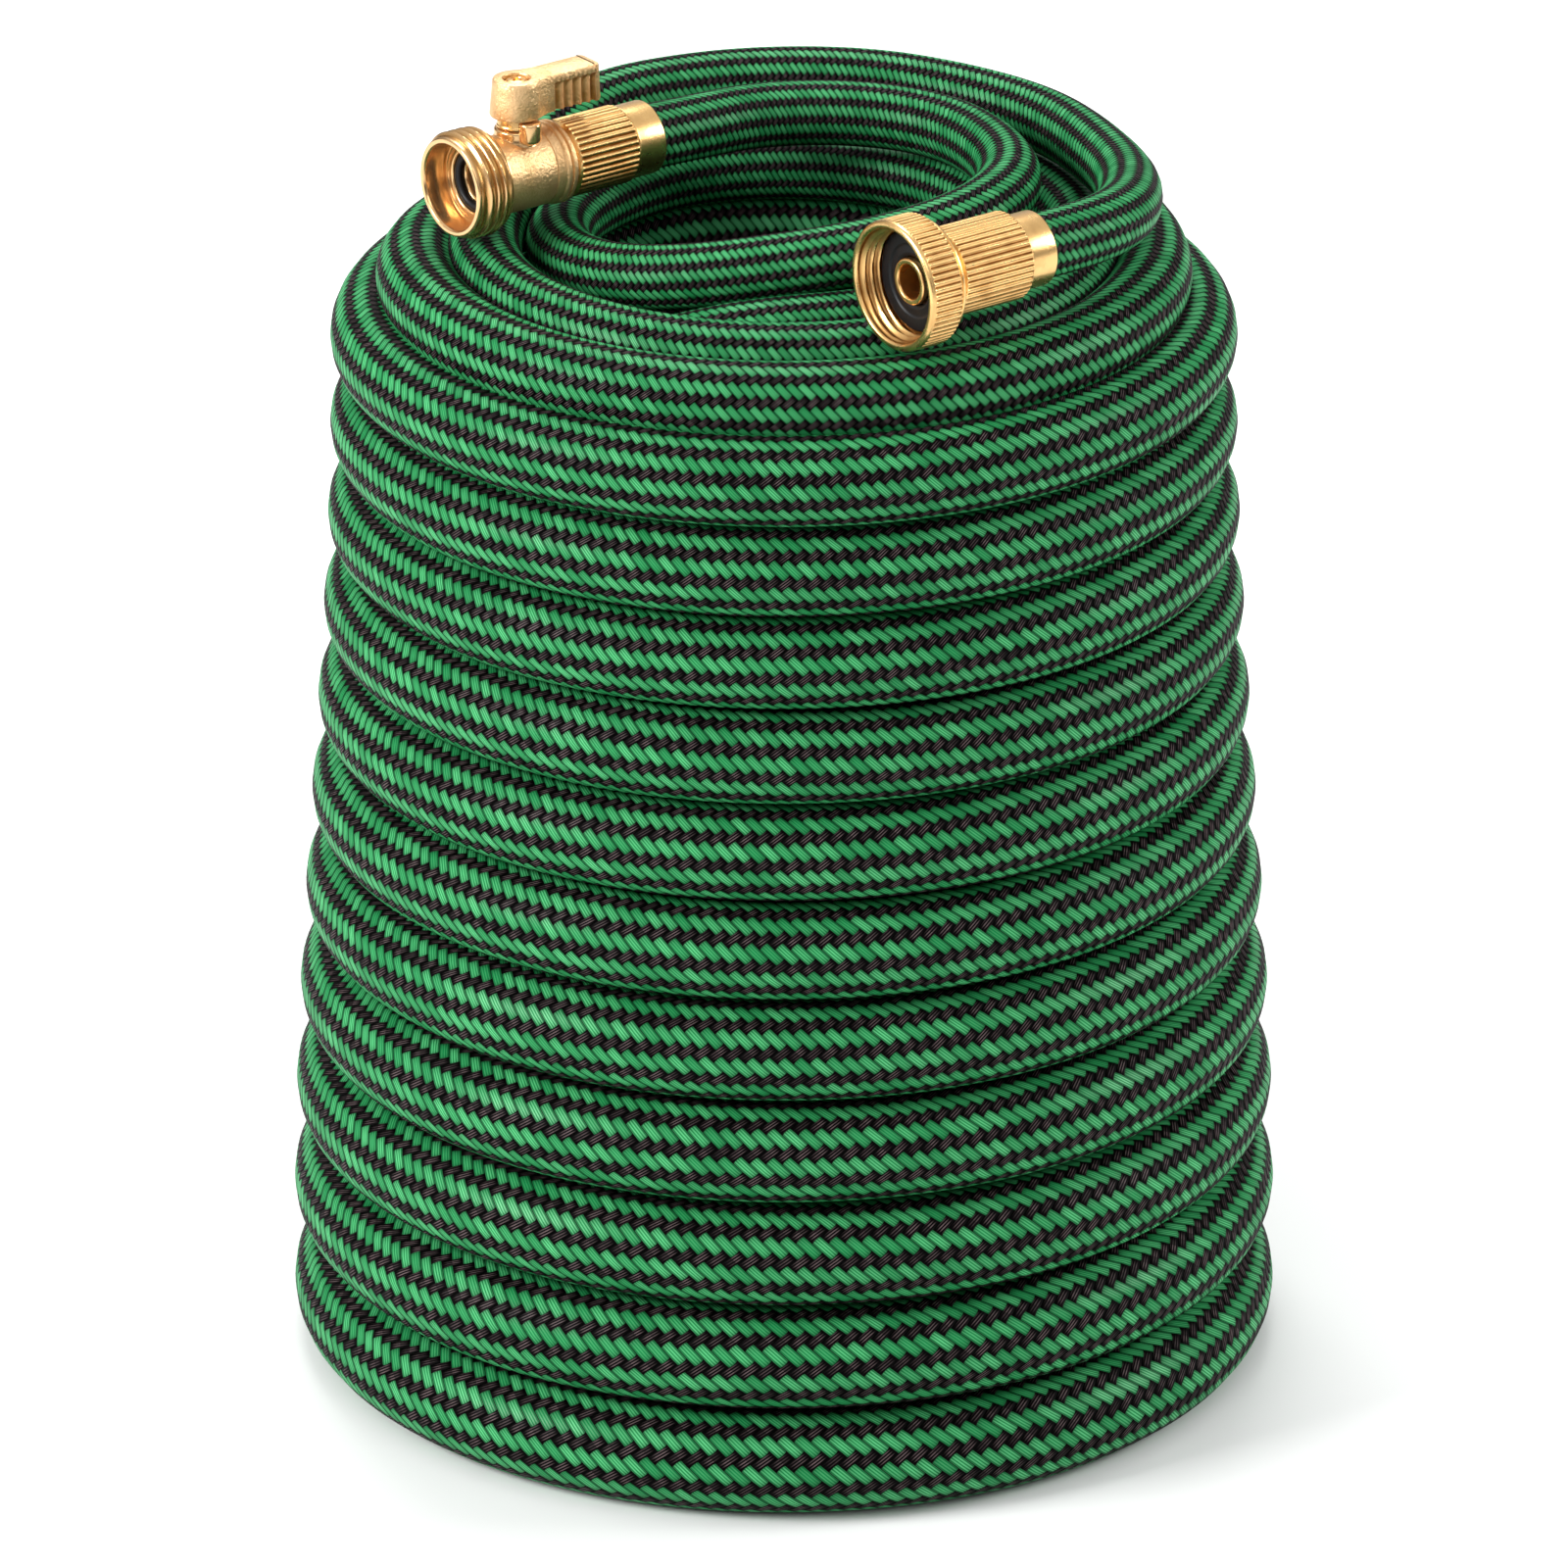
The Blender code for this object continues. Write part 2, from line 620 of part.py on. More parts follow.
def make_washer(rubber, mouth):
    start = coupling_marks().washer_start
    end = start + WASHER_THICKNESS
    inner = SPIGOT_RADIUS + GAP
    profile = [(inner, start), (WASHER_RADIUS, start), (WASHER_RADIUS, end), (inner, end)]
    return place_on_axis("rubber_washer", profile, rubber, mouth)


def make_coupling_stem(brass, mouth):
    marks = coupling_marks()
    spigot_start = marks.flange_start - SPIGOT_LENGTH
    collar_end = marks.collar_start + COLLAR_LENGTH
    tail_end = marks.sleeve_start + TAIL_LENGTH
    profile = [
        (WATERWAY_RADIUS, spigot_start), (SPIGOT_RADIUS, spigot_start), (SPIGOT_RADIUS, marks.flange_start),
        (FLANGE_RADIUS, marks.flange_start), (FLANGE_RADIUS, marks.flange_end),
        (NECK_RADIUS, marks.flange_end), (NECK_RADIUS, marks.collar_start),
        (COLLAR_RADIUS, marks.collar_start), (COLLAR_RADIUS, collar_end), (TAIL_RADIUS, collar_end),
        (TAIL_RADIUS, tail_end), (WATERWAY_RADIUS, tail_end),
    ]
    return place_on_axis("coupling_stem", profile, brass, mouth)


def main():
    for old in list(bpy.data.objects):
        bpy.data.objects.remove(old, do_unlink=True)

    jacket = material("hose_jacket", HOSE_GREEN, 0.7, 0.0)
    polished = material("polished_brass", BRASS_GOLD, 0.22, 1.0)
    forged = material("forged_brass", SATIN_BRASS, 0.42, 1.0)
    chrome = material("chrome", CHROME_GREY, 0.12, 1.0)
    rubber = material("rubber", RUBBER_BLACK, 0.6, 0.0)

    turns = wall_turns()
    shelf = shelf_height(turns)
    rings = [turns[-1], *crown_turns(turns)]
    make_coil(jacket)

    sleeve_start = valve_marks()[3]
    valve_length = sleeve_start + VALVE_SLEEVE_LENGTH + VALVE_FERRULE_LENGTH
    thread_length = VALVE_THREAD_START + VALVE_THREAD_RIDGES * THREAD_PITCH
    valve_height = max(
        rest_height(THREAD_RADIUS, span(VALVE_MOUTH_X, thread_length), VALVE_AXIS_Y, rings),
        rest_height(VALVE_SHOULDER_RADIUS, span(VALVE_MOUTH_X, valve_length), VALVE_AXIS_Y, rings))
    valve_mouth = Vector((VALVE_MOUTH_X, VALVE_AXIS_Y, valve_height))
    stem_foot = valve_mouth + Vector((STEM_FROM_MOUTH, 0, 0))
    make_valve(forged, valve_mouth)
    make_ball(chrome, valve_mouth)
    make_seal(rubber, valve_mouth)
    make_stem(polished, stem_foot)
    make_lever(forged, stem_foot)
    make_screw(polished, stem_foot)
    place_on_axis("valve_sleeve", sleeve_profile(
        sleeve_start, VALVE_SLEEVE_RADIUS, VALVE_SLEEVE_LENGTH, VALVE_FERRULE_RADIUS, VALVE_FERRULE_LENGTH),
        polished, valve_mouth)

    coupling_sleeve = coupling_marks().sleeve_start
    coupling_length = coupling_sleeve + COUPLING_SLEEVE_LENGTH + COUPLING_FERRULE_LENGTH
    coupling_height = max(
        rest_height(NUT_RADIUS, span(COUPLING_MOUTH_X, NUT_LENGTH), COUPLING_AXIS_Y, rings),
        rest_height(COUPLING_SLEEVE_RADIUS, span(COUPLING_MOUTH_X, coupling_length), COUPLING_AXIS_Y, rings))
    coupling_mouth = Vector((COUPLING_MOUTH_X, COUPLING_AXIS_Y, coupling_height))
    make_nut(polished, coupling_mouth)
    make_washer(rubber, coupling_mouth)
    make_coupling_stem(polished, coupling_mouth)
    place_on_axis("coupling_sleeve", sleeve_profile(
        coupling_sleeve, COUPLING_SLEEVE_RADIUS, COUPLING_SLEEVE_LENGTH, COUPLING_FERRULE_RADIUS,
        COUPLING_FERRULE_LENGTH), polished, coupling_mouth)

    tail_end = sleeve_start + TAIL_LENGTH + GAP
    make_loop("hose_lead_valve", valve_mouth + Vector((tail_end, 0, 0)),
              VALVE_MOUTH_X + valve_length, VALVE_LOOP, shelf, jacket)
    tail_end = coupling_sleeve + TAIL_LENGTH + GAP
    make_loop("hose_lead_coupling", coupling_mouth + Vector((tail_end, 0, 0)),
              COUPLING_MOUTH_X + coupling_length, COUPLING_LOOP, shelf, jacket)


main()
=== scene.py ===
import math

import bmesh
import bpy
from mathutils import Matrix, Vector


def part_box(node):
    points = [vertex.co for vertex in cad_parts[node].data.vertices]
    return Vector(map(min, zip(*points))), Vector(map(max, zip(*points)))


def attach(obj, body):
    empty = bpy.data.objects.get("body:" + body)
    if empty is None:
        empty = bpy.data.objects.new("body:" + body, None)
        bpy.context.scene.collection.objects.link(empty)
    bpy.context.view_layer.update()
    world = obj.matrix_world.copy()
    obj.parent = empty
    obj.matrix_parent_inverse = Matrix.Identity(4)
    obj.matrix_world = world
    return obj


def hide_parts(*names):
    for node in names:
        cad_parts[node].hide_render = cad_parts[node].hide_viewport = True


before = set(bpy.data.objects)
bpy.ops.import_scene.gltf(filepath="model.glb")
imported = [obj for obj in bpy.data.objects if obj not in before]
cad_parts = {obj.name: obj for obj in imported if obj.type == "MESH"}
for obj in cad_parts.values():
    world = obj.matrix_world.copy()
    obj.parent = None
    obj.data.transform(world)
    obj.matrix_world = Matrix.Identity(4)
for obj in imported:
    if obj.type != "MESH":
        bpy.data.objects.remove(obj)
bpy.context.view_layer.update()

mm = 0.001

# Camera, at the photograph's angle

cameraView = {
    "azimuth": -37.0,  # degrees, 0 looks along +Y
    "elevation": 23.2,
    "distance": 3.45,  # metres from the focus
    "focusHeight": 0.1458,
    "photoWidth": 1600,
    "pixelsPerMetre": 4108,  # in the photograph, at the focus
}


def makeCamera():
    azimuth = math.radians(cameraView["azimuth"])
    elevation = math.radians(cameraView["elevation"])
    away = Vector((-math.sin(azimuth), math.cos(azimuth), 0))
    look = away * math.cos(elevation) - Vector((0, 0, math.sin(elevation)))
    data = bpy.data.cameras.new("camera")
    data.sensor_width = 36
    focalPixels = cameraView["pixelsPerMetre"] * cameraView["distance"]
    data.lens = data.sensor_width * focalPixels / cameraView["photoWidth"]
    camera = bpy.data.objects.new("camera", data)
    bpy.context.collection.objects.link(camera)
    camera.location = Vector((0, 0, cameraView["focusHeight"])) - look * cameraView["distance"]
    camera.rotation_euler = look.to_track_quat("-Z", "Y").to_euler()
    bpy.context.scene.camera = camera


makeCamera()
print("camera ready")

# Shader helpers


def newGroup(name, inputs, outputs):
    tree = bpy.data.node_groups.new(name, "ShaderNodeTree")
    for label, kind, value in inputs:
        socket = tree.interface.new_socket(label, in_out="INPUT", socket_type=kind)
        if value is not None:
            socket.default_value = value
    for label, kind in outputs:
        tree.interface.new_socket(label, in_out="OUTPUT", socket_type=kind)
    return tree, tree.nodes.new("NodeGroupInput"), tree.nodes.new("NodeGroupOutput")


def plug(tree, target, source):
    # source is a number, a colour or another node's output
    if isinstance(source, bpy.types.NodeSocket):
        tree.links.new(source, target)
    else:
        target.default_value = source


def calc(tree, operation, first, second=0.0, third=0.0):
    node = tree.nodes.new("ShaderNodeMath")
    node.operation = operation
    for target, source in zip(node.inputs, (first, second, third)):
        plug(tree, target, source)
    return node.outputs[0]


def blendColours(tree, share, first, second, mode="MIX"):
    node = tree.nodes.new("ShaderNodeMix")
    node.data_type = "RGBA"
    node.blend_type = mode
    plug(tree, node.inputs["Factor"], share)
    plug(tree, node.inputs["A"], first)
    plug(tree, node.inputs["B"], second)
    return node.outputs["Result"]


def remap(tree, value, low, high, newLow=0.0, newHigh=1.0):
    node = tree.nodes.new("ShaderNodeMapRange")
    node.interpolation_type = "SMOOTHSTEP"
    for target, source in zip(node.inputs, (value, low, high, newLow, newHigh)):
        plug(tree, target, source)
    return node.outputs[0]


def noise(tree, vector, scale, detail=2.0, roughness=0.5):
    node = tree.nodes.new("ShaderNodeTexNoise")
    plug(tree, node.inputs["Vector"], vector)
    node.inputs["Scale"].default_value = scale
    node.inputs["Detail"].default_value = detail
    node.inputs["Roughness"].default_value = roughness
    return node.outputs["Fac"]


# Woven jacket: two sets of strands cross in a two-over, two-under twill

jacket = {
    "strands": 22,  # in each direction round the hose
    "green": (0.004, 0.175, 0.046, 1),
    # colour of the painted highlights on the green filaments
    "greenHighlight": (0.150, 0.660, 0.270, 1),
    "greenShade": (0.0001, 0.003, 0.001, 1),
    "dark": (0.0026, 0.0018, 0.0020, 1),
    "darkGlint": (0.160, 0.112, 0.116, 1),
    "darkShade": (0.0002, 0.0002, 0.0002, 1),
    "greenReach": 1.14,  # half a green float's length, in crossings
    "filaments": 4,
    "relief": 0.60 * mm,
    "fineRelief": 0.09,  # of the filaments, as a share of the relief
    "roughness": 0.55,
    "specular": 0.03,
    "gloss": 0.50,  # of the floats' crowns
    "glossRoughness": 0.36,
}


def strandLies(tree, across, along, shift):
    # Across is split into strands and along runs over the crossings: gives the
    # strand's number, the place across it, the distance from its float's middle
    # and the place along it
    number = calc(tree, "FLOOR", across)
    side = calc(tree, "SUBTRACT", calc(tree, "FRACT", across), 0.5)
    place = calc(tree, "SUBTRACT", calc(tree, "ADD", along, number), shift)
    return number, side, calc(tree, "PINGPONG", place, 2.0), place


def archOf(tree, distance, reach, power):
    # One in the middle, falling to nothing at the reach
    share = calc(tree, "MINIMUM", calc(tree, "DIVIDE", calc(tree, "ABSOLUTE", distance), reach), 1.0)
    return calc(tree, "SQRT", calc(tree, "SUBTRACT", 1.0, calc(tree, "POWER", share, power)))


def makeWeaveGroup():
    tree, inside, outside = newGroup(
        "wovenTwill",
        [("Place", "NodeSocketVector", None), ("Strands", "NodeSocketFloat", 22.0),
         ("Green Reach", "NodeSocketFloat", 1.3), ("Filaments", "NodeSocketFloat", 4.0)],
        [("Green Mask", "NodeSocketFloat"), ("Height", "NodeSocketFloat"), ("Shade", "NodeSocketFloat"),
         ("Filament", "NodeSocketFloat"), ("Strand Tone", "NodeSocketFloat")])
    split = tree.nodes.new("ShaderNodeSeparateXYZ")
    plug(tree, split.inputs[0], inside.outputs["Place"])
    turned = calc(tree, "MULTIPLY", split.outputs["X"], inside.outputs["Strands"])
    first = calc(tree, "ADD", turned, split.outputs["Y"])
    second = calc(tree, "SUBTRACT", turned, split.outputs["Y"])
    greenNumber, greenSide, greenFar, greenPlace = strandLies(tree, first, second, 1.0)
    darkNumber, darkSide, darkFar, darkPlace = strandLies(tree, second, first, 3.0)
    reach = inside.outputs["Green Reach"]
    # the float's end is a little rounded
    bulge = calc(tree, "MULTIPLY", calc(tree, "MULTIPLY", greenSide, greenSide), 0.30)
    greenEnd = calc(tree, "SUBTRACT", reach, bulge)
    mask = remap(tree, calc(tree, "SUBTRACT", greenEnd, greenFar), -0.03, 0.03)
    greenArch = calc(tree, "MULTIPLY", archOf(tree, greenFar, calc(tree, "ADD", reach, 0.12), 2.6),
                     archOf(tree, greenSide, 0.52, 3.0))
    darkArch = calc(tree, "MULTIPLY", archOf(tree, darkFar, 1.35, 2.0), archOf(tree, darkSide, 0.47, 2.2))
    greenRise = calc(tree, "SUBTRACT", calc(tree, "MULTIPLY_ADD", greenArch, 0.85, 0.25), darkArch)
    height = calc(tree, "MULTIPLY_ADD", greenRise, mask, darkArch)
    # painted shade: dark lines along the strands' edges and where they dive under, and on the green floats shading
    # that is lightest at each crown
    crown = calc(tree, "MULTIPLY", archOf(tree, greenFar, reach, 2.0), archOf(tree, greenSide, 0.5, 2.0))
    greenShade = calc(tree, "MULTIPLY", remap(tree, calc(tree, "ABSOLUTE", greenSide), 0.495, 0.425),
                      calc(tree, "MULTIPLY_ADD", crown, 0.75, 0.25))
    darkShade = calc(tree, "MULTIPLY", remap(tree, calc(tree, "ABSOLUTE", darkSide), 0.45, 0.18),
                     remap(tree, darkFar, 0.90, 0.30, 0.03, 1.0))
    shade = calc(tree, "MULTIPLY_ADD", calc(tree, "SUBTRACT", greenShade, darkShade), mask, darkShade)
    side = calc(tree, "MULTIPLY_ADD", calc(tree, "SUBTRACT", greenSide, darkSide), mask, darkSide)
    # the dark yarn is twisted, so its filaments run askew
    darkMask = calc(tree, "SUBTRACT", 1.0, mask)
    askew = calc(tree, "MULTIPLY", calc(tree, "MULTIPLY", darkPlace, 0.45), darkMask)
    lines = calc(tree, "MULTIPLY_ADD", side, inside.outputs["Filaments"], askew)
    wave = calc(tree, "COSINE", calc(tree, "MULTIPLY", lines, 2 * math.pi))
    filament = calc(tree, "MULTIPLY_ADD", wave, 0.5, 0.5)
    # every float has its own tone
    numbers = tree.nodes.new("ShaderNodeCombineXYZ")
    greenFloat = calc(tree, "FLOOR", calc(tree, "MULTIPLY_ADD", greenPlace, 0.25, 0.5))
    plug(tree, numbers.inputs[0], greenNumber)
    plug(tree, numbers.inputs[1], calc(tree, "MULTIPLY", greenFloat, mask))
    plug(tree, numbers.inputs[2], calc(tree, "MULTIPLY", darkNumber, darkMask))
    white = tree.nodes.new("ShaderNodeTexWhiteNoise")
    plug(tree, white.inputs["Vector"], numbers.outputs[0])
    plug(tree, outside.inputs["Green Mask"], mask)
    plug(tree, outside.inputs["Height"], height)
    plug(tree, outside.inputs["Shade"], shade)
    plug(tree, outside.inputs["Filament"], filament)
    plug(tree, outside.inputs["Strand Tone"], white.outputs["Value"])
    return tree


def newMaterial(name):
    made = bpy.data.materials.new(name)
    made.use_nodes = True
    tree = made.node_tree
    return made, tree, tree.nodes["Principled BSDF"]


def placeGroup(tree, group, values):
    node = tree.nodes.new("ShaderNodeGroup")
    node.node_tree = group
    for label, value in values.items():
        plug(tree, node.inputs[label], value)
    return node


def makeJacketMaterial(weaveGroup):
    made, tree, shader = newMaterial("wovenJacket")
    place = tree.nodes.new("ShaderNodeUVMap")
    place.uv_map = "hoseLength"
    weave = placeGroup(tree, weaveGroup, {
        "Place": place.outputs[0], "Strands": float(jacket["strands"]),
        "Green Reach": jacket["greenReach"], "Filaments": float(jacket["filaments"])})
    mask, height, shade = weave.outputs["Green Mask"], weave.outputs["Height"], weave.outputs["Shade"]
    filament, tone = weave.outputs["Filament"], weave.outputs["Strand Tone"]
    # painted highlights along each filament's crown, on the green and the dark strands, brighter on some floats at
    # random; then the weave's painted shade
    spark = calc(tree, "MULTIPLY", filament, calc(tree, "MULTIPLY_ADD", tone, 0.60, 0.15))
    green = blendColours(tree, spark, jacket["green"], jacket["greenHighlight"])
    green = blendColours(tree, shade, jacket["greenShade"], green)
    glint = calc(tree, "MULTIPLY", calc(tree, "POWER", filament, 4.0),
                 calc(tree, "MULTIPLY_ADD", tone, 0.8, 0.2))
    dark = blendColours(tree, glint, jacket["dark"], jacket["darkGlint"])
    dark = blendColours(tree, shade, jacket["darkShade"], dark)
    plug(tree, shader.inputs["Base Color"], blendColours(tree, mask, dark, green))
    shader.inputs["Roughness"].default_value = jacket["roughness"]
    shader.inputs["Specular IOR Level"].default_value = jacket["specular"]
    # only the floats' crowns shine, the green ones most
    shine = calc(tree, "MULTIPLY", calc(tree, "MULTIPLY", shade, filament),
                 calc(tree, "MULTIPLY_ADD", mask, 0.8, 0.2))
    plug(tree, shader.inputs["Coat Weight"], calc(tree, "MULTIPLY", shine, jacket["gloss"]))
    shader.inputs["Coat Roughness"].default_value = jacket["glossRoughness"]
    fine = calc(tree, "MULTIPLY_ADD", filament, jacket["fineRelief"], height)
    bump = tree.nodes.new("ShaderNodeBump")
    bump.inputs["Strength"].default_value = 1.0
    bump.inputs["Distance"].default_value = jacket["relief"]
    plug(tree, bump.inputs["Height"], fine)
    plug(tree, shader.inputs["Normal"], bump.outputs[0])
    return made


# Brass, in a polished and a forged finish

brass = {
    "polished": {"light": (0.90, 0.57, 0.23, 1), "deep": (0.30, 0.125, 0.024, 1),
                 "roughness": 0.25, "metallic": 1.0, "grain": 0.02 * mm},
    "forged": {"light": (0.90, 0.59, 0.30, 1), "deep": (0.44, 0.22, 0.055, 1),
               "roughness": 0.38, "metallic": 0.90, "grain": 0.24 * mm},
    "grainScale": 1400.0,
    "cloudScale": 160.0,
    # how far grooves go to the deep colour, as painted shade, and how far turned faces go to it, for their more
    # orange tone
    "recessShade": 0.85,
    "turnedShade": 0.25,
}


def makeMetalGroup():
    tree, inside, outside = newGroup(
        "metalSurface",
        [("Place", "NodeSocketVector", None), ("Light", "NodeSocketColor", None),
         ("Deep", "NodeSocketColor", None), ("Roughness", "NodeSocketFloat", 0.2),
         ("Recess", "NodeSocketFloat", 0.0), ("Turned", "NodeSocketFloat", 0.0)],
        [("Color", "NodeSocketColor"), ("Roughness", "NodeSocketFloat"), ("Grain", "NodeSocketFloat")])
    place, recess, turned = (inside.outputs[label] for label in ("Place", "Recess", "Turned"))
    rough = calc(tree, "SUBTRACT", 1.0, turned)
    grain = noise(tree, place, brass["grainScale"], 3.0, 0.6)
    cloud = noise(tree, place, brass["cloudScale"], 3.0)
    clouded = calc(tree, "MULTIPLY", remap(tree, cloud, 0.35, 0.75), calc(tree, "MULTIPLY_ADD", rough, 0.3, 0.1))
    # painted shade: the deeper a point lies in a groove, valley or slot, the nearer its colour goes to the deep
    # colour; the clouds vary the tone at random
    grooveShadeAndClouds = calc(tree, "MULTIPLY_ADD", recess, brass["recessShade"], clouded)
    shade = calc(tree, "MULTIPLY_ADD", turned, brass["turnedShade"], grooveShadeAndClouds)
    colour = blendColours(tree, calc(tree, "MINIMUM", shade, 1.0), inside.outputs["Light"], inside.outputs["Deep"])
    plug(tree, outside.inputs["Color"], colour)
    # turned and polished faces are smoother than the forging round them
    smoothed = calc(tree, "MULTIPLY_ADD", turned, -0.55, 1.0)
    base = calc(tree, "MULTIPLY", inside.outputs["Roughness"], smoothed)
    varied = calc(tree, "MULTIPLY_ADD", remap(tree, cloud, 0.3, 0.7), 0.05, base)
    plug(tree, outside.inputs["Roughness"], calc(tree, "MULTIPLY_ADD", recess, 0.12, varied))
    plug(tree, outside.inputs["Grain"], calc(tree, "MULTIPLY", grain, rough))
    return tree


def makeMetal(name, metalGroup, finish):
    made, tree, shader = newMaterial(name)
    place = tree.nodes.new("ShaderNodeTexCoord")
    layers = {}
    for label in ("Recess", "Turned"):
        layers[label] = tree.nodes.new("ShaderNodeAttribute")
        layers[label].attribute_name = label.lower()
    surface = placeGroup(tree, metalGroup, {
        "Place": place.outputs["Object"], "Light": finish["light"], "Deep": finish["deep"],
        "Roughness": finish["roughness"], "Recess": layers["Recess"].outputs["Fac"],
        "Turned": layers["Turned"].outputs["Fac"]})
    plug(tree, shader.inputs["Base Color"], surface.outputs["Color"])
    plug(tree, shader.inputs["Roughness"], surface.outputs["Roughness"])
    shader.inputs["Metallic"].default_value = finish["metallic"]
    bump = tree.nodes.new("ShaderNodeBump")
    bump.inputs["Distance"].default_value = finish["grain"]
    plug(tree, bump.inputs["Height"], surface.outputs["Grain"])
    plug(tree, shader.inputs["Normal"], bump.outputs[0])
    return made


chromePlate = {"light": (0.62, 0.61, 0.60, 1), "deep": (0.30, 0.29, 0.28, 1),
               "roughness": 0.08, "metallic": 1.0, "grain": 0.005 * mm}

# Rubber of the seal and the washer

rubber = {
    "colour": (0.004, 0.004, 0.0045, 1),
    "speckLift": 2.4,  # how much lighter its specks are
    "speckScale": 1800.0,
    "roughness": 0.42,
    "specular": 0.22,
    "grain": 0.05 * mm,
}


def makeRubber():
    made, tree, shader = newMaterial("blackRubber")
    place = tree.nodes.new("ShaderNodeTexCoord")
    speck = noise(tree, place.outputs["Object"], rubber["speckScale"])
    lighter = (*(part * rubber["speckLift"] for part in rubber["colour"][:3]), 1)
    plug(tree, shader.inputs["Base Color"], blendColours(tree, speck, rubber["colour"], lighter))
    shader.inputs["Roughness"].default_value = rubber["roughness"]
    shader.inputs["Specular IOR Level"].default_value = rubber["specular"]
    bump = tree.nodes.new("ShaderNodeBump")
    bump.inputs["Distance"].default_value = rubber["grain"]
    plug(tree, bump.inputs["Height"], speck)
    plug(tree, shader.inputs["Normal"], bump.outputs[0])
    return made


metalGroup = makeMetalGroup()
jacketMaterial = makeJacketMaterial(makeWeaveGroup())
polishedBrass = makeMetal("polishedBrass", metalGroup, brass["polished"])
forgedBrass = makeMetal("forgedBrass", metalGroup, brass["forged"])
chrome = makeMetal("chromePlate", metalGroup, chromePlate)
blackRubber = makeRubber()
print("materials ready")

# Places that the frame gives


def axisOf(node):
    low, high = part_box(node)
    return (low[1] + high[1]) / 2, (low[2] + high[2]) / 2


valveMouth = Vector((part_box("valve_body")[0][0], *axisOf("valve_ball")))
couplingMouth = Vector((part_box("swivel_nut")[0][0], *axisOf("swivel_nut")))
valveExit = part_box("valve_sleeve")[1][0]
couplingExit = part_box("coupling_sleeve")[1][0]

# The hose: one tube, from the valve through the coil to the coupling

hose = {
    "turns": 11,
    "girth": (26.6, 22.3),  # of the wall's turns, lowest and highest
    "outerRadius": (123.4, 111.4),
    "boreRadius": (51.0, 50.0),
    "spacing": (28.2, 22.6),
    "looseGirth": 16.2,
    "lowestMiddle": 2,  # the middle layer starts above this turn
    "shelfTurn": (61.15, 269.85),  # distance from the axis and height
    "shoulder": (90.0, 283.0, 20.5),
    "crown": (73.5, 287.5, 18.5),
    "sides": 24,
    "step": 2.0,
    "visibleSpacing": 4.0,
    "hiddenSpacing": 14.0,
    # the braid's pitch as a share of the girth, and the girth in mm it belongs to
    "finePitch": (0.116, 16.2),
    "braidPitch": (0.144, 26.6),
    "smoothing": 12.0,
    # the winding in degrees clockwise: where the valve's loop goes down and over how
    # far, where the wall starts, the climb to its next turn, the crown's wait and climb
    "dive": (488, 58),
    "wallStart": 267,
    "wallClimb": 80,
    "crownClimb": (230, 55),
    # slow twists of the jacket: size in radians, span in metres, phase
    "twists": ((0.35, 2.9, 0.4), (0.25, 1.13, 1.9)),
}

# The two loose ends: azimuth in degrees, distance from the axis and height over
# the shelf, in metres
shelfHeight = 0.2810
valveLoop = (
    (97, 0.0354, 0.0285), (80, 0.0370, 0.0278), (60, 0.0425, 0.0264),
    (30, 0.0490, 0.0256), (0, 0.0540, 0.0253), (-37, 0.0557, 0.0254),
    (-70, 0.0520, 0.0248), (-100, 0.0460, 0.0222), (-127, 0.0425, 0.0190),
    (-150, 0.0428, 0.0155), (-172, 0.0465, 0.0120), (-195, 0.0515, 0.0088),
    (-217, 0.0555, 0.0077), (-240, 0.0560, 0.0077), (-275, 0.0560, 0.0077),
    (-310, 0.0560, 0.0077), (-345, 0.0560, 0.0077), (-380, 0.0560, 0.0077),
    (-415, 0.0560, 0.0077), (-450, 0.0560, 0.0077), (-488, 0.0560, 0.0077),
)
couplingLoop = (
    (-71, 0.0873, 0.0297), (-59, 0.0880, 0.0280), (-45, 0.0850, 0.0255),
    (-30, 0.0822, 0.0236), (0, 0.0800, 0.0230), (30, 0.0770, 0.0236),
    (53, 0.0740, 0.0241), (72, 0.0730, 0.0241), (88, 0.0730, 0.0241),
)


def mixNumbers(first, second, share):
    return first + (second - first) * share


def polarPoint(azimuth, distance, height):
    angle = math.radians(azimuth)
    return Vector((distance * math.cos(angle), distance * math.sin(angle), height))


def smoothRoute(points, steps=24):
    # A smooth curve through all the points
    padded = [2 * points[0] - points[1], *points, 2 * points[-1] - points[-2]]
    fine = []
    for index in range(1, len(padded) - 2):
        p0, p1, p2, p3 = padded[index - 1:index + 3]
        for step in range(steps):
            t = step / steps
            fine.append(0.5 * (2 * p1 + (p2 - p0) * t + (2 * p0 - 5 * p1 + 4 * p2 - p3) * t ** 2
                               + (3 * p1 - p0 - 3 * p2 + p3) * t ** 3))
    fine.append(padded[-2])
    return fine


def looseEnd(mouth, exitX, loop):
    start = Vector((exitX - 13 * mm, mouth.y, mouth.z))
    points = [Vector((exitX + 2.5 * mm, mouth.y, mouth.z))]
    points += [polarPoint(azimuth, distance, shelfHeight + rise) for azimuth, distance, rise in loop]
    return [start, *smoothRoute(points)]


def wallTurns():
    # Distance from the axis, height and girth of each turn of the wall
    turns = []
    height = hose["girth"][0] / 2
    last = hose["turns"] - 1
    for index in range(hose["turns"]):
        share = index / last
        girth = mixNumbers(*hose["girth"], share)
        outer = mixNumbers(*hose["outerRadius"], 0.5 - 0.5 * math.cos(math.pi * share))
        turns.append((outer - girth / 2, height, girth))
        height += mixNumbers(*hose["spacing"], (index + 0.5) / last)
    return turns


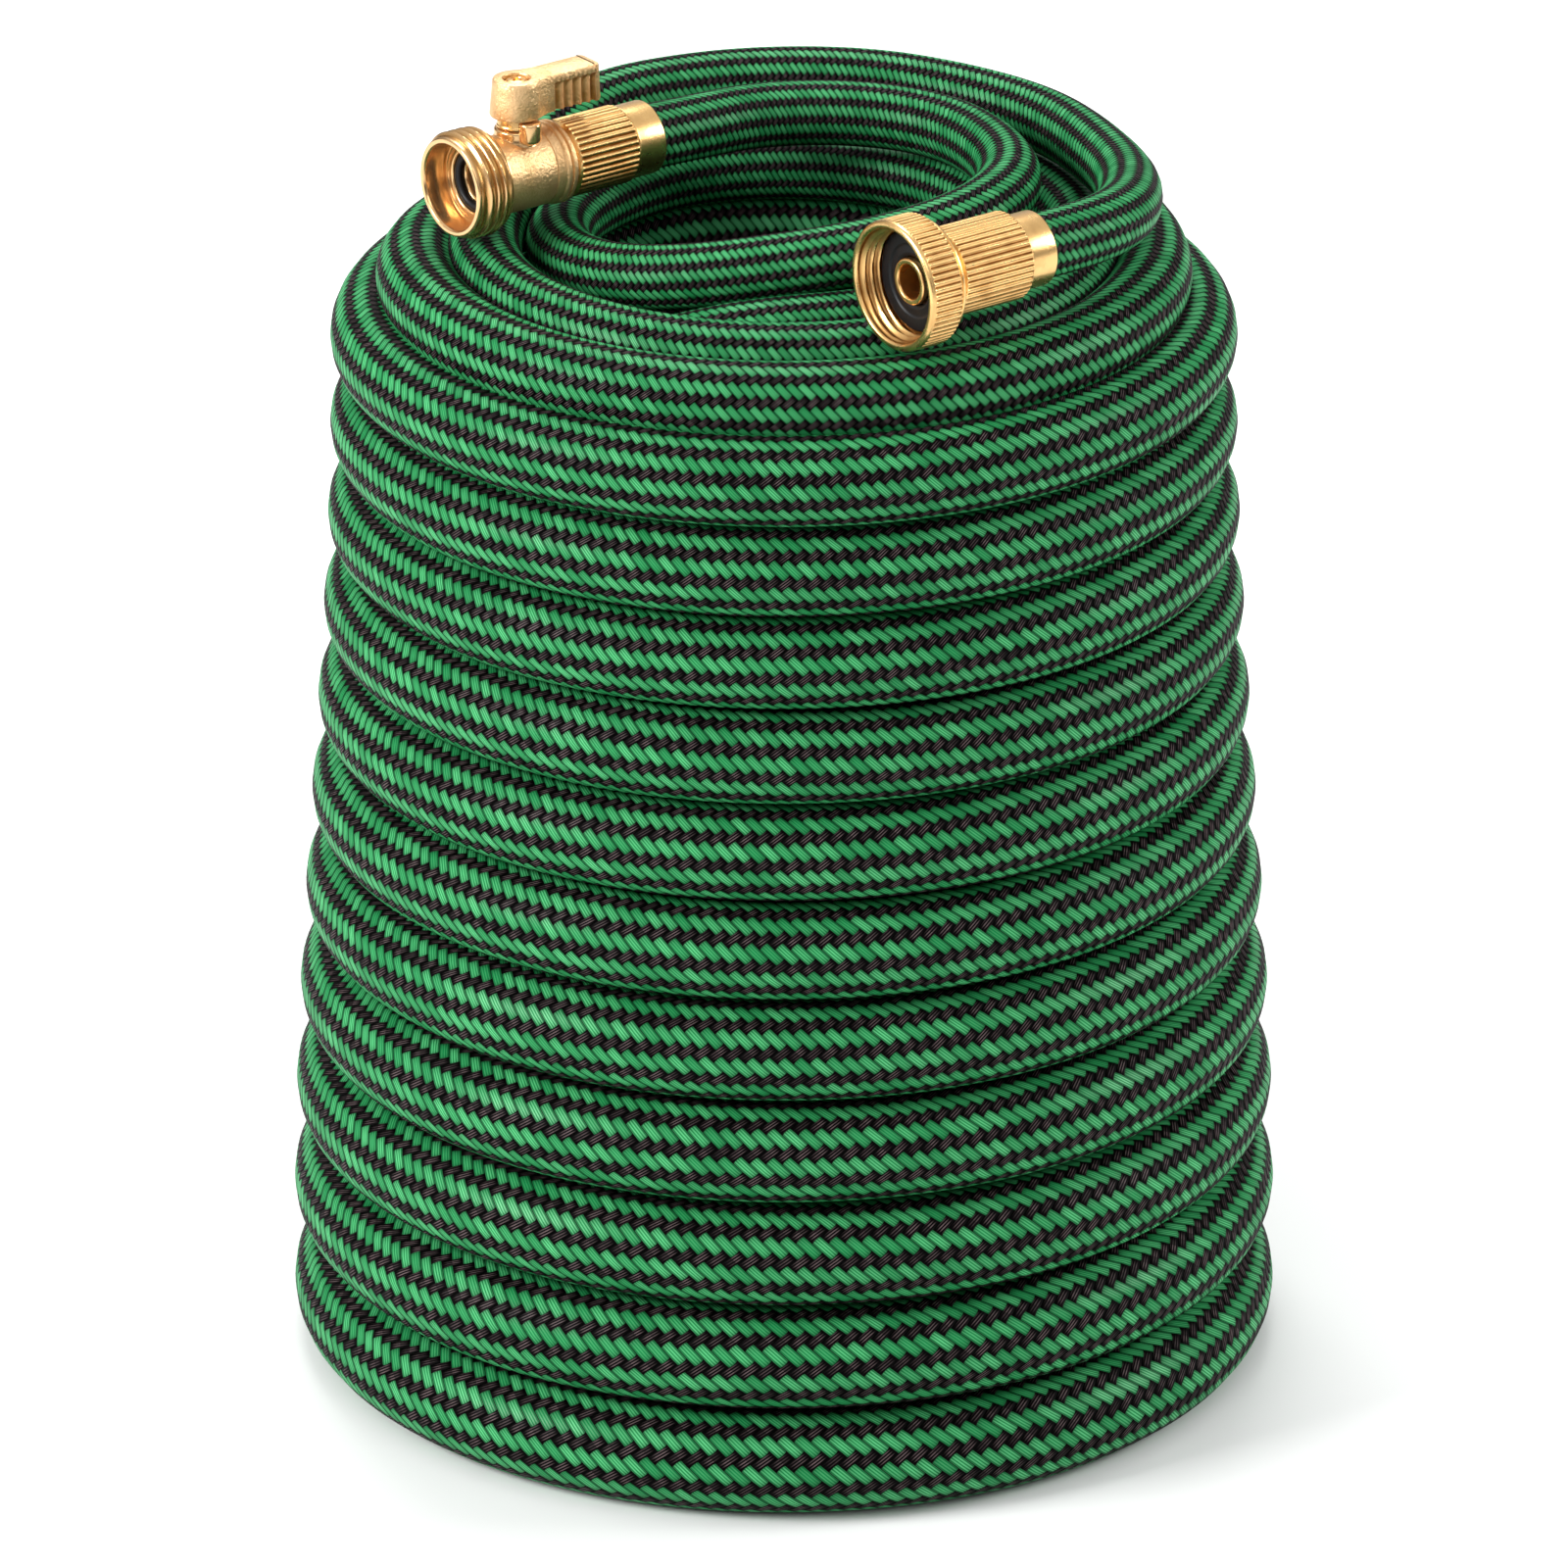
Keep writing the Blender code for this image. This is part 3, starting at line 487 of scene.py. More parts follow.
def coilMarks():
    # (degrees turned clockwise, distance, height, girth, shown) along the winding
    wall = wallTurns()
    last = hose["turns"] - 1
    diveStart, diveLength = hose["dive"]
    wallClimb = hose["wallClimb"]
    crownWait, crownClimb = hose["crownClimb"]
    inner = []
    for level in range(last, -1, -1):
        distance = mixNumbers(*hose["boreRadius"], level / last) + wall[level][2] / 2
        inner.append((distance, wall[level][1], wall[level][2]))
        if level > hose["lowestMiddle"]:
            middle = (distance + wall[level][0]) / 2
            inner.append((middle, (wall[level][1] + wall[level - 1][1]) / 2, wall[level][2]))
    inner[0] = (*hose["shelfTurn"], wall[-1][2])
    marks = []
    turned = diveStart
    for turn in inner:
        marks.append((turned + diveLength, *turn, False))
        turned += 360
        marks.append((turned, *turn, False))
    # out under the stack to the lowest turn of the wall, then up the wall
    foot = wall[0]
    climbStart = turned + (hose["wallStart"] - turned) % 360
    marks.append((climbStart, foot[0] - foot[2], foot[1], foot[2], False))
    for turn in wall:
        marks.append((climbStart + wallClimb, *turn, True))
        climbStart += 360
        marks.append((climbStart, *turn, True))
    # the two turns of the crown
    crownStart = climbStart + wallClimb + crownWait
    marks.append((climbStart + wallClimb, *hose["shoulder"], True))
    marks.append((crownStart, *hose["shoulder"], True))
    marks.append((crownStart + crownClimb, *hose["crown"], True))
    marks.append((crownStart + 360, *hose["crown"], True))
    return marks


def hosePath():
    # Points along the whole hose: (place in metres, girth in mm, shown)
    loose = hose["looseGirth"]
    path = [(point, loose, True) for point in looseEnd(valveMouth, valveExit, valveLoop)]
    ending = looseEnd(couplingMouth, couplingExit, couplingLoop)[::-1]
    lastLoop, firstLoop = valveLoop[-1], couplingLoop[-1]
    marks = [(-lastLoop[0], lastLoop[1] / mm, (shelfHeight + lastLoop[2]) / mm, loose, True), *coilMarks()]
    endTurn = marks[-1][0] + (-firstLoop[0] - marks[-1][0]) % 360
    marks.append((endTurn, firstLoop[1] / mm, (shelfHeight + firstLoop[2]) / mm, loose, True))
    for before, after in zip(marks, marks[1:]):
        arc = math.radians(after[0] - before[0]) * (before[1] + after[1]) / 2
        count = max(4, round(arc / hose["step"]))
        for step in range(1, count + 1):
            share = step / count
            ease = share * share * (3 - 2 * share)
            distance, height, girth = (mixNumbers(before[k], after[k], ease) for k in (1, 2, 3))
            angle = -mixNumbers(before[0], after[0], share)
            path.append((polarPoint(angle, distance * mm, height * mm), girth, before[4] or after[4]))
    path += [(point, loose, True) for point in ending[1:]]
    return path


def evenPath(path, step):
    # The same line with a point every step, then smoothed along its length
    lengths = [0.0]
    for first, second in zip(path, path[1:]):
        lengths.append(lengths[-1] + (second[0] - first[0]).length)
    count = round(lengths[-1] / step)
    even = []
    index = 0
    for number in range(count + 1):
        wanted = lengths[-1] * number / count
        while index < len(lengths) - 2 and lengths[index + 1] < wanted:
            index += 1
        share = (wanted - lengths[index]) / max(1e-9, lengths[index + 1] - lengths[index])
        share = min(1.0, max(0.0, share))
        before, after = path[index], path[index + 1]
        even.append((before[0].lerp(after[0], share), mixNumbers(before[1], after[1], share), before[2]))
    reach = round(hose["smoothing"] * mm / step)
    smooth = []
    for number, (place, girth, shown) in enumerate(even):
        near = min(reach, number, len(even) - 1 - number)
        part = even[number - near:number + near + 1]
        middle = sum((item[0] for item in part), Vector((0, 0, 0))) / len(part)
        smooth.append((middle, sum(item[1] for item in part) / len(part), shown))
    return smooth


def makeHose():
    step = hose["step"] * mm
    path = evenPath(hosePath(), step)
    sides = hose["sides"]
    coarse = 1
    bm = bmesh.new()
    uvLayer = bm.loops.layers.uv.new("hoseLength")
    rings, turnsAlong, centres = [], [], []
    along = 0.0
    length = 0.0
    skipUntil = 0
    for number, (place, girth, shown) in enumerate(path):
        if number:
            stride = (place - path[number - 1][0]).length
            length += stride
            share = (girth - hose["finePitch"][1]) / (hose["braidPitch"][1] - hose["finePitch"][1])
            pitch = mixNumbers(hose["finePitch"][0], hose["braidPitch"][0], min(1.0, max(0.0, share)))
            along += stride / (pitch * girth * mm)
        last = number == len(path) - 1
        if number < skipUntil and not last:
            continue
        spacing = hose["visibleSpacing"] if shown else hose["hiddenSpacing"]
        skipUntil = number + round(spacing * mm / step) * coarse
        ahead = path[min(number + 2, len(path) - 1)][0]
        behind = path[max(number - 2, 0)][0]
        tangent = (ahead - behind).normalized()
        inward = tangent.cross(Vector((0, 0, 1))).normalized()
        upward = inward.cross(tangent)
        twist = sum(size * math.sin(2 * math.pi * length / span + phase) for size, span, phase in hose["twists"])
        ring = []
        for side in range(sides):
            angle = 2 * math.pi * side / sides
            reach = inward * math.cos(angle) + upward * math.sin(angle)
            ring.append(bm.verts.new(place + reach * (girth * mm / 2)))
        rings.append(ring)
        turnsAlong.append((along, twist))
        centres.append(place)
    for index in range(len(rings) - 1):
        for side in range(sides):
            following = (side + 1) % sides
            corners = ((rings[index][side], side, index),
                       (rings[index][following], side + 1, index),
                       (rings[index + 1][following], side + 1, index + 1),
                       (rings[index + 1][side], side, index + 1))
            face = bm.faces.new([corner[0] for corner in corners])
            for loop, (vert, around, place) in zip(face.loops, corners):
                distance, twist = turnsAlong[place]
                loop[uvLayer].uv = (around / sides + twist / (2 * math.pi), distance)
    bm.faces.new(rings[0][::-1])
    bm.faces.new(rings[-1])
    bmesh.ops.recalc_face_normals(bm, faces=bm.faces)
    mesh = bpy.data.meshes.new("gardenHose")
    bm.to_mesh(mesh)
    bm.free()
    mesh.shade_smooth()
    mesh.materials.append(jacketMaterial)
    made = bpy.data.objects.new("gardenHose", mesh)
    bpy.context.collection.objects.link(made)
    return made, centres, length


hosePiece, hoseCentres, hoseLengthMetres = makeHose()
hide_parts("hose_coil", "hose_lead_valve", "hose_lead_coupling")
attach(hosePiece, "hose")
print("hose ready,", round(hoseLengthMetres, 2), "m,", len(hosePiece.data.polygons), "faces")

# Turned brass pieces. A profile is a closed line of (radius, distance along the
# axis, kind of surface), and a relief moves the points of one kind in or out

sharpFrom = {"turned": 38, "shaped": 34, "lever": 32}  # degrees between two faces
roundSides = {"large": 96, "middle": 72, "small": 64, "least": 48}


def roundCorners(profile, softness):
    rounded = []
    count = len(profile)
    for index, (radius, along, kind) in enumerate(profile):
        here = Vector((radius, along))
        before = Vector(profile[index - 1][:2]) - here
        after = Vector(profile[(index + 1) % count][:2]) - here
        straight = before.length and after.length and before.normalized().dot(after.normalized()) < -0.999
        if kind == "fine" or straight or radius == 0:
            rounded.append((radius, along, kind))
            continue
        cut = min(softness, 0.45 * before.length, 0.45 * after.length)
        first = here + before.normalized() * cut
        second = here + after.normalized() * cut
        middle = first * 0.25 + here * 0.5 + second * 0.25
        rounded += [(*point, kind) for point in (first, middle, second)]
    return rounded


def fineLine(radius, start, end, pitch, kind):
    count = max(2, math.ceil(abs(end - start) / pitch))
    return [(radius, mixNumbers(start, end, step / count), kind) for step in range(count + 1)]


def alongX(origin, radius, along, angle):
    return origin + Vector((along, radius * math.cos(angle), radius * math.sin(angle)))


def upZ(origin, radius, along, angle):
    return origin + Vector((radius * math.cos(angle), radius * math.sin(angle), along))


def turnPiece(name, profile, segments, origin, place, finish, reliefs=None, softness=0.15, turnedTo=-100.0):
    # Sizes come in millimetres. reliefs gives a function for each kind of surface:
    # it returns how far the point moves outwards and how deep it lies, 0 to 1.
    # Up to turnedTo along the axis, the surface is machined smooth
    segments = segments
    reliefs = reliefs or {}
    bm = bmesh.new()
    # how deep each point lies, which the metal paints as shade
    depthLayer = bm.verts.layers.float.new("recess")
    turnedLayer = bm.verts.layers.float.new("turned")
    rings = []
    for radius, along, kind in roundCorners(profile, softness):
        ring = []
        for step in range(segments if radius else 1):
            angle = 2 * math.pi * step / segments
            push, depth = reliefs[kind](angle, along) if kind in reliefs else (0.0, 0.0)
            vert = bm.verts.new(place(origin, (radius + push) * mm, along * mm, angle))
            vert[depthLayer] = depth
            vert[turnedLayer] = 1.0 if along <= turnedTo else 0.0
            ring.append(vert)
        rings.append(ring)
    for first, second in zip(rings, rings[1:] + rings[:1]):
        if len(first) == 1 and len(second) == 1:
            continue
        for step in range(segments):
            following = (step + 1) % segments
            corners = [first[step % len(first)], first[following % len(first)],
                       second[following % len(second)], second[step % len(second)]]
            corners = list(dict.fromkeys(corners))
            bm.faces.new(corners)
    bmesh.ops.recalc_face_normals(bm, faces=bm.faces)
    return finishMesh(name, bm, finish)


def shapeWith(piece, helper, operation):
    # Joins the helper to the piece, or cuts it away, and removes the helper
    step = piece.modifiers.new("shape", "BOOLEAN")
    step.operation = operation
    step.object = helper
    step.solver = "EXACT"
    depsgraph = bpy.context.evaluated_depsgraph_get()
    shaped = bpy.data.meshes.new_from_object(piece.evaluated_get(depsgraph))
    shaped.set_sharp_from_angle(angle=math.radians(sharpFrom["shaped"]))
    piece.modifiers.clear()
    piece.data = shaped
    bpy.data.objects.remove(helper, do_unlink=True)


def finishMesh(name, bm, finish, sharp=sharpFrom["turned"]):
    mesh = bpy.data.meshes.new(name)
    bm.to_mesh(mesh)
    bm.free()
    mesh.shade_smooth()
    mesh.set_sharp_from_angle(angle=math.radians(sharp))
    mesh.materials.append(finish)
    made = bpy.data.objects.new(name, mesh)
    bpy.context.collection.objects.link(made)
    return made


def knurl(count, depth, start, end, fade=0.5):
    # Straight ridges with a narrow groove between each two
    def relief(angle, along):
        ridge = abs(math.cos(count * angle / 2)) ** 0.7
        ends = min(1.0, max(0.0, (along - start) / fade), max(0.0, (end - along) / fade))
        # the grooves' depth, which the metal paints as shade
        sunk = (1 - ridge) * min(1.0, ends * 1.6)
        return -depth * sunk, sunk
    return relief


def helixThread(start, end, pitch, depth, inward=False):
    # A right-hand thread that fades out at both ends
    def relief(angle, along):
        place = ((along - start) / pitch - angle / (2 * math.pi)) % 1.0
        height = (0.5 - 0.5 * math.cos(2 * math.pi * place)) ** 1.7
        ends = min(1.0, max(0.0, (along - start) / (0.6 * pitch)), max(0.0, (end - along) / (0.6 * pitch)))
        lift = height * ends
        # the valleys' depth, which the metal paints as shade
        return (-depth if inward else depth) * lift, 0.75 * (1 - lift)
    return relief


thread = {"pitch": 2.2, "depth": 1.1, "rootRadius": 12.4}

# The valve

valve = {
    "threadStart": 1.0,
    "threadEnd": 10.2,
    "mouthBore": (10.9, 6.4),  # radius, depth
    "stepBore": (7.7, 8.7),
    "lipBore": (5.4, 11.2),
    "cavity": (7.9, 28.2),
    "waterway": 4.2,
    "bodyRadius": 9.8,
    "shoulderRadius": 10.4,
    "sleeveStart": 32.4,
    "tail": (5.2, 13.0),
    "stemAt": 20.3,
    "bossRadius": 5.6,
    "bossHeight": 11.5,
    "stemBore": 3.3,
    "collarRoom": 5.25,
    "lug": (2.8, 8.7, 14.1),  # radius, foot, top
    "lugAway": 5.6,  # from the stem's axis, towards -Y
    "ballRadius": 7.6,
    "seal": (6.55, 1.0, 7.6),  # radius of the ring, of its section, depth
    "segments": 144,
}


def overBall(height=0.0):
    return valveMouth + Vector((valve["stemAt"] * mm, 0, height * mm))


def makeValveBody():
    mouth, mouthDepth = valve["mouthBore"]
    stepRadius, stepDepth = valve["stepBore"]
    lip, lipDepth = valve["lipBore"]
    cavity, cavityEnd = valve["cavity"]
    tail, tailLength = valve["tail"]
    root, body, shoulder = thread["rootRadius"], valve["bodyRadius"], valve["shoulderRadius"]
    start, end, sleeve = valve["threadStart"], valve["threadEnd"], valve["sleeveStart"]
    waterway, ringFoot = valve["waterway"], mouthDepth + 0.3
    profile = [
        (mouth + 0.25, 0.0, ""), (root - 0.35, 0.0, ""), (root, 0.35, ""),
        *fineLine(root, start, end, 0.11, "fine"),
        (root, end + 0.25, ""), (body + 0.6, end + 0.5, ""), (body, end + 1.3, ""),
        (body, 25.6, ""), (body - 0.35, 25.8, ""), (body, 26.0, ""),
        (body + 0.05, 28.3, ""), (shoulder, 28.6, ""), (shoulder, 29.5, ""), (body - 0.1, 29.7, ""),
        (body - 0.1, 30.1, ""), (shoulder, 30.3, ""), (shoulder, 31.1, ""), (body - 0.4, 31.3, ""),
        (body - 0.4, sleeve - 0.3, ""), (tail, sleeve - 0.3, ""), (tail, sleeve + tailLength, ""),
        (waterway, sleeve + tailLength, ""), (waterway, cavityEnd, ""), (cavity, cavityEnd, ""),
        (cavity, lipDepth, ""), (lip, lipDepth, ""), (lip, stepDepth + 0.5, ""), (lip + 0.45, stepDepth, ""),
        (stepRadius, stepDepth, ""), (stepRadius, mouthDepth + 0.35, ""), (stepRadius + 0.35, mouthDepth, ""),
        # rings turned into the seat's face
        (9.1, mouthDepth, ""), (9.2, ringFoot, ""), (9.5, ringFoot, ""), (9.6, mouthDepth, ""),
        (10.2, mouthDepth, ""), (10.3, ringFoot, ""), (mouth - 0.1, ringFoot, ""), (mouth, mouthDepth - 0.3, ""),
        (mouth, mouthDepth - 1.6, ""), (mouth - 0.15, mouthDepth - 1.7, ""), (mouth - 0.15, 0.6, ""),
    ]
    reliefs = {"fine": helixThread(start, end, thread["pitch"], thread["depth"])}
    piece = turnPiece("valveBody", profile, valve["segments"], valveMouth, alongX, forgedBrass, reliefs,
                      turnedTo=end + 0.3)
    foot, sides = overBall(), roundSides["middle"]
    radius, top = valve["bossRadius"], valve["bossHeight"]
    boss = turnPiece("valveBoss", [
        (0, 5.5, ""), (radius + 0.5, 5.5, ""), (radius + 0.5, 8.3, ""), (radius + 0.12, 9.2, ""),
        (radius, 10.0, ""), (radius, top - 0.4, ""), (radius - 0.4, top, ""), (0, top, "")],
        sides, foot, upZ, forgedBrass, softness=0.3)
    # a lug beside the stem stops the lever
    lug, lugFoot, lugTop = valve["lug"]
    stopLug = turnPiece("stopLug", [
        (0, lugFoot, ""), (lug - 0.7, lugFoot, ""), (lug, lugFoot + 0.7, ""), (lug, lugTop - 0.4, ""),
        (lug - 0.4, lugTop, ""), (0, lugTop, "")],
        roundSides["least"], foot - Vector((0, valve["lugAway"] * mm, 0)), upZ, forgedBrass, softness=0.5)
    shapeWith(piece, boss, "UNION")
    shapeWith(piece, stopLug, "UNION")
    rooms = (("ballRoom", cavity - 0.02, lipDepth + 0.1, cavityEnd - 0.1, valveMouth, alongX),
             ("collarRoom", valve["collarRoom"], top + 0.1, top + 6.0, foot, upZ),
             ("stemBore", valve["stemBore"], 6.0, top + 1.0, foot, upZ))
    for name, size, low, high, origin, place in rooms:
        line = [(0, low, ""), (size, low, ""), (size, high, ""), (0, high, "")]
        shapeWith(piece, turnPiece(name, line, sides, origin, place, forgedBrass), "DIFFERENCE")
    return piece


sleeves = {
    "valve": {"radius": 9.8, "length": 18.7, "ferrule": 9.2, "ferruleLength": 8.1,
              "ridges": 36, "depth": 0.50},
    "coupling": {"radius": 11.0, "length": 21.5, "ferrule": 9.3, "ferruleLength": 8.0,
                 "ridges": 42, "depth": 0.50},
}


def makeSleeve(name, sizes, start, mouth):
    radius, end = sizes["radius"], start + sizes["length"]
    last = end + sizes["ferruleLength"]
    tailBore, hoseBore = valve["tail"][0] + 0.3, hose["looseGirth"] / 2 + 0.1
    profile = [
        (tailBore, start, ""), (radius - 0.9, start, ""), (radius - 0.5, start + 0.4, ""),
        *fineLine(radius, start + 0.8, start + 2.2, 0.35, "knurl"),
        *fineLine(radius, start + 2.6, end - 2.4, 3.0, "knurl"),
        *fineLine(radius, end - 2.0, end - 0.8, 0.35, "knurl"),
        (radius - 0.7, end - 0.2, ""), (sizes["ferrule"] + 0.1, end, ""), (sizes["ferrule"], end + 0.3, ""),
        (sizes["ferrule"], last - 0.5, ""), (sizes["ferrule"] - 0.45, last, ""), (hoseBore, last, ""),
        (hoseBore, start + 1.8, ""), (tailBore, start + 1.8, ""),
    ]
    reliefs = {"knurl": knurl(sizes["ridges"], sizes["depth"], start + 0.7, end - 0.6)}
    return turnPiece(name, profile, sizes["ridges"] * 8, mouth, alongX, polishedBrass, reliefs)


valveBody = makeValveBody()
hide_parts("valve_body")
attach(valveBody, "hose")
valveSleeve = makeSleeve("valveSleeve", sleeves["valve"], valve["sleeveStart"], valveMouth)
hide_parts("valve_sleeve")
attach(valveSleeve, "hose")
print("valve ready")

# The lever with its fluted sides, its stem and its screw

lever = {
    "hubRadius": 6.7,
    "length": 22.8,
    "halfWidth": 4.45,
    "foot": 14.5,  # over the valve's axis
    "thickness": 9.5,
    "draft": 0.85,
    "flutes": 5,
    "fluteStart": 8.4,
    "fluteEnd": 21.6,
    "fluteDepth": 1.05,
    "rimHeight": 2.2,
    "corner": 1.6,
    "recess": (3.3, 2.0),  # radius, depth
}


def leverOutline():
    # (x, y, how much of a flute), anticlockwise seen from above, in mm
    hub, half, length = lever["hubRadius"], lever["halfWidth"], lever["length"]
    points = []
    for step in range(33):
        angle = mixNumbers(math.radians(58), math.radians(302), step / 32)
        points.append((hub * math.cos(angle), hub * math.sin(angle), 0.0))
    side = [(4.9, -5.05, 0.0), (6.2, -4.6, 0.0), (7.4, -4.42, 0.0)]
    count = lever["flutes"] * 10
    for step in range(count + 1):
        share = step / count
        wave = abs(math.sin(math.pi * lever["flutes"] * share)) ** 0.6
        side.append((mixNumbers(lever["fluteStart"], lever["fluteEnd"], share), -half, wave))
    corner = lever["corner"]
    for step in range(6):
        angle = mixNumbers(-math.pi / 2, 0, step / 5)
        x, y = length - corner + corner * math.cos(angle), -half + corner + corner * math.sin(angle)
        side.append((x, y, 0.0))
    mirrored = [(x, -y, wave) for x, y, wave in reversed(side)]
    return points + side + mirrored


def makeLever():
    outline = leverOutline()
    foot = overBall(lever["foot"])
    top = lever["thickness"]
    rim = top - lever["rimHeight"]
    # height, inset of the outline, share of the flutes
    layers = [(0.0, 0.5, 0.9), (0.15, 0.15, 1.0), (0.5, 0.0, 1.0), (rim - 1.8, 0.0, 1.0),
              (rim - 0.9, 0.0, 0.88), (rim - 0.3, 0.0, 0.6), (rim, 0.0, 0.15), (rim + 0.2, 0.0, 0.0),
              (top - 0.5, 0.0, 0.0), (top - 0.15, 0.15, 0.0), (top, 0.5, 0.0)]
    bm = bmesh.new()
    depthLayer = bm.verts.layers.float.new("recess")
    rings = []
    for height, inset, flute in layers:
        ring = []
        for x, y, wave in outline:
            inward = Vector((-x, -y)) if x < 5 else Vector((0.0, -y))
            inward.normalize()
            if x > lever["length"] - 1.7:
                inward = Vector((-1.0, -y / lever["halfWidth"])).normalized()
            draft = lever["draft"] * (1.0 if x < 5 else 0.45)
            push = inset + draft * height / top + lever["fluteDepth"] * wave * flute
            vert = bm.verts.new(foot + Vector((x + inward.x * push, y + inward.y * push, height)) * mm)
            # the flutes' depth, which the metal paints as shade
            vert[depthLayer] = 0.85 * wave * flute
            ring.append(vert)
        rings.append(ring)
    for lower, upper in zip(rings, rings[1:]):
        for index in range(len(lower)):
            following = (index + 1) % len(lower)
            bm.faces.new((lower[index], lower[following], upper[following], upper[index]))
    bm.faces.new(rings[0][::-1])
    bm.faces.new(rings[-1])
    bmesh.ops.recalc_face_normals(bm, faces=bm.faces)
    piece = finishMesh("valveLever", bm, forgedBrass, sharpFrom["lever"])
    radius, depth = lever["recess"]
    cutter = turnPiece("recessCutter", [
        (0, -1.0, ""), (2.7, -1.0, ""), (2.7, top - depth, ""), (radius, top - depth, ""),
        (radius, top - 0.35, ""), (radius + 0.35, top, ""), (radius + 0.35, top + 1.0, ""), (0, top + 1.0, "")],
        roundSides["small"], foot, upZ, forgedBrass)
    shapeWith(piece, cutter, "DIFFERENCE")
    return piece


def makeScrew():
    foot = overBall(lever["foot"])
    seat = lever["thickness"] - lever["recess"][1] + 0.2
    head = turnPiece("leverScrew", [
        (0, 0.8, ""), (1.0, 0.8, ""), (1.0, seat, ""), (2.9, seat, ""), (2.9, seat + 0.7, ""),
        (2.3, seat + 1.25, ""), (1.2, seat + 1.45, ""), (0, seat + 1.5, "")],
        roundSides["least"], foot, upZ, polishedBrass)
    # the two slots of its cross recess
    for turn in (25, 115):
        bm = bmesh.new()
        bmesh.ops.create_cube(bm, size=1)
        depthLayer = bm.verts.layers.float.new("recess")
        angle = math.radians(turn)
        for vert in bm.verts:
            # the slots' walls are painted fully shaded by the metal
            vert[depthLayer] = 1.0
            wide = 1.0 if vert.co.z > 0 else 0.55
            x, y = vert.co.x * 3.8 * wide, vert.co.y * 0.95 * wide
            z = seat + 1.2 + vert.co.z * 1.8
            turned = (x * math.cos(angle) - y * math.sin(angle), x * math.sin(angle) + y * math.cos(angle), z)
            vert.co = foot + Vector(turned) * mm
        shapeWith(head, finishMesh("slotCutter", bm, polishedBrass), "DIFFERENCE")
    return head


def makeStem():
    collarFoot, collarTop, postTop = valve["bossHeight"] + 0.3, lever["foot"] - 0.3, 21.0
    return turnPiece("valveStem", [
        (0, 7.9, ""), (3.0, 7.9, ""), (3.0, collarFoot, ""), (5.0, collarFoot, ""),
        (5.0, collarFoot + 0.5, ""), (4.8, collarFoot + 0.7, ""), (4.8, collarTop, ""),
        (2.4, collarTop, ""), (2.4, postTop, ""), (1.3, postTop, ""), (1.3, collarTop + 0.6, ""),
        (0, collarTop + 0.6, "")], roundSides["small"], overBall(), upZ, polishedBrass)


def makeBall():
    profile = []
    radius, bore = valve["ballRadius"], valve["waterway"]
    edge = math.acos(bore / radius)
    for step in range(25):
        angle = mixNumbers(-edge, edge, step / 24)
        profile.append((radius * math.cos(angle), radius * math.sin(angle), ""))
    return turnPiece("valveBall", profile, roundSides["middle"], overBall(), alongX, chrome)


def makeSeal():
    ring, section, centre = valve["seal"]
    profile = []
    for step in range(20):
        angle = 2 * math.pi * step / 20
        profile.append((ring + section * math.cos(angle), centre + section * math.sin(angle), ""))
    return turnPiece("valveSeal", profile, roundSides["middle"], valveMouth, alongX, blackRubber)


leverPieces = [
    (makeLever(), "valve_lever", "forged_brass"), (makeScrew(), "lever_screw", "polished_brass"),
    (makeStem(), "valve_stem", "polished_brass"), (makeBall(), "valve_ball", "chrome"),
]
for piece, node, slot in leverPieces:
    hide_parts(node)
    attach(piece, "lever")
sealRing = makeSeal()
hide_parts("valve_seal")
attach(sealRing, "hose")
print("lever ready")

# The swivel coupling

coupling = {
    "nutRadius": 16.2,
    "nutLength": 11.6,
    "bore": 14.1,
    "threadStart": 0.9,
    "threadEnd": 8.0,
    "wallStart": 9.8,
    "neck": 8.0,
    "ridges": 62,
    "ridgeDepth": 0.50,
    "flange": (12.4, 8.1, 9.5),  # radius, start, end
    "washer": (12.6, 6.3, 7.8),
    "spigot": (5.8, 5.1),  # radius, start
    "collar": (10.6, 11.9, 13.6),
    "sleeveStart": 13.9,
}


def makeNut():
    radius, length, bore = coupling["nutRadius"], coupling["nutLength"], coupling["bore"]
    start, end, wall = coupling["threadStart"], coupling["threadEnd"], coupling["wallStart"]
    neck = coupling["neck"] + 0.3
    profile = [
        (bore + 0.5, 0.0, ""), (radius - 0.9, 0.0, ""), (radius - 0.35, 0.3, ""), (radius - 0.15, 0.7, ""),
        (radius - 0.15, 1.0, ""),
        *fineLine(radius, 1.2, 2.2, 0.25, "knurl"), *fineLine(radius, 2.6, 8.0, 2.7, "knurl"),
        *fineLine(radius, 8.3, 9.1, 0.2, "knurl"),
        # a groove and a smooth ring behind the grip
        (radius - 0.9, 9.3, ""), (radius - 1.9, 9.6, ""), (radius - 1.9, 9.9, ""), (radius - 1.2, 10.2, ""),
        (radius - 1.3, 10.9, ""), (radius - 2.2, length, ""), (neck, length, ""),
        (neck, wall, ""), (bore, wall, ""),
        *fineLine(bore, end, start, 0.17, "fine"), (bore, 0.5, ""),
    ]
    reliefs = {"knurl": knurl(coupling["ridges"], coupling["ridgeDepth"], 1.1, 9.2),
               "fine": helixThread(start, end, thread["pitch"], thread["depth"], True)}
    sides = coupling["ridges"] * 8
    return turnPiece("swivelNut", profile, sides, couplingMouth, alongX, polishedBrass, reliefs)


def makeWasher():
    radius, start, end = coupling["washer"]
    inner = coupling["spigot"][0] + 0.3
    profile = [
        (inner, start + 0.5, ""), (inner + 0.9, start + 0.1, ""), (inner + 2.3, start + 0.35, ""),
        (inner + 2.8, start + 0.35, ""), (inner + 3.2, start, ""), (radius - 0.5, start, ""),
        (radius, start + 0.4, ""), (radius, end, ""), (inner, end, ""),
    ]
    return turnPiece("rubberWasher", profile, roundSides["large"], couplingMouth, alongX, blackRubber)


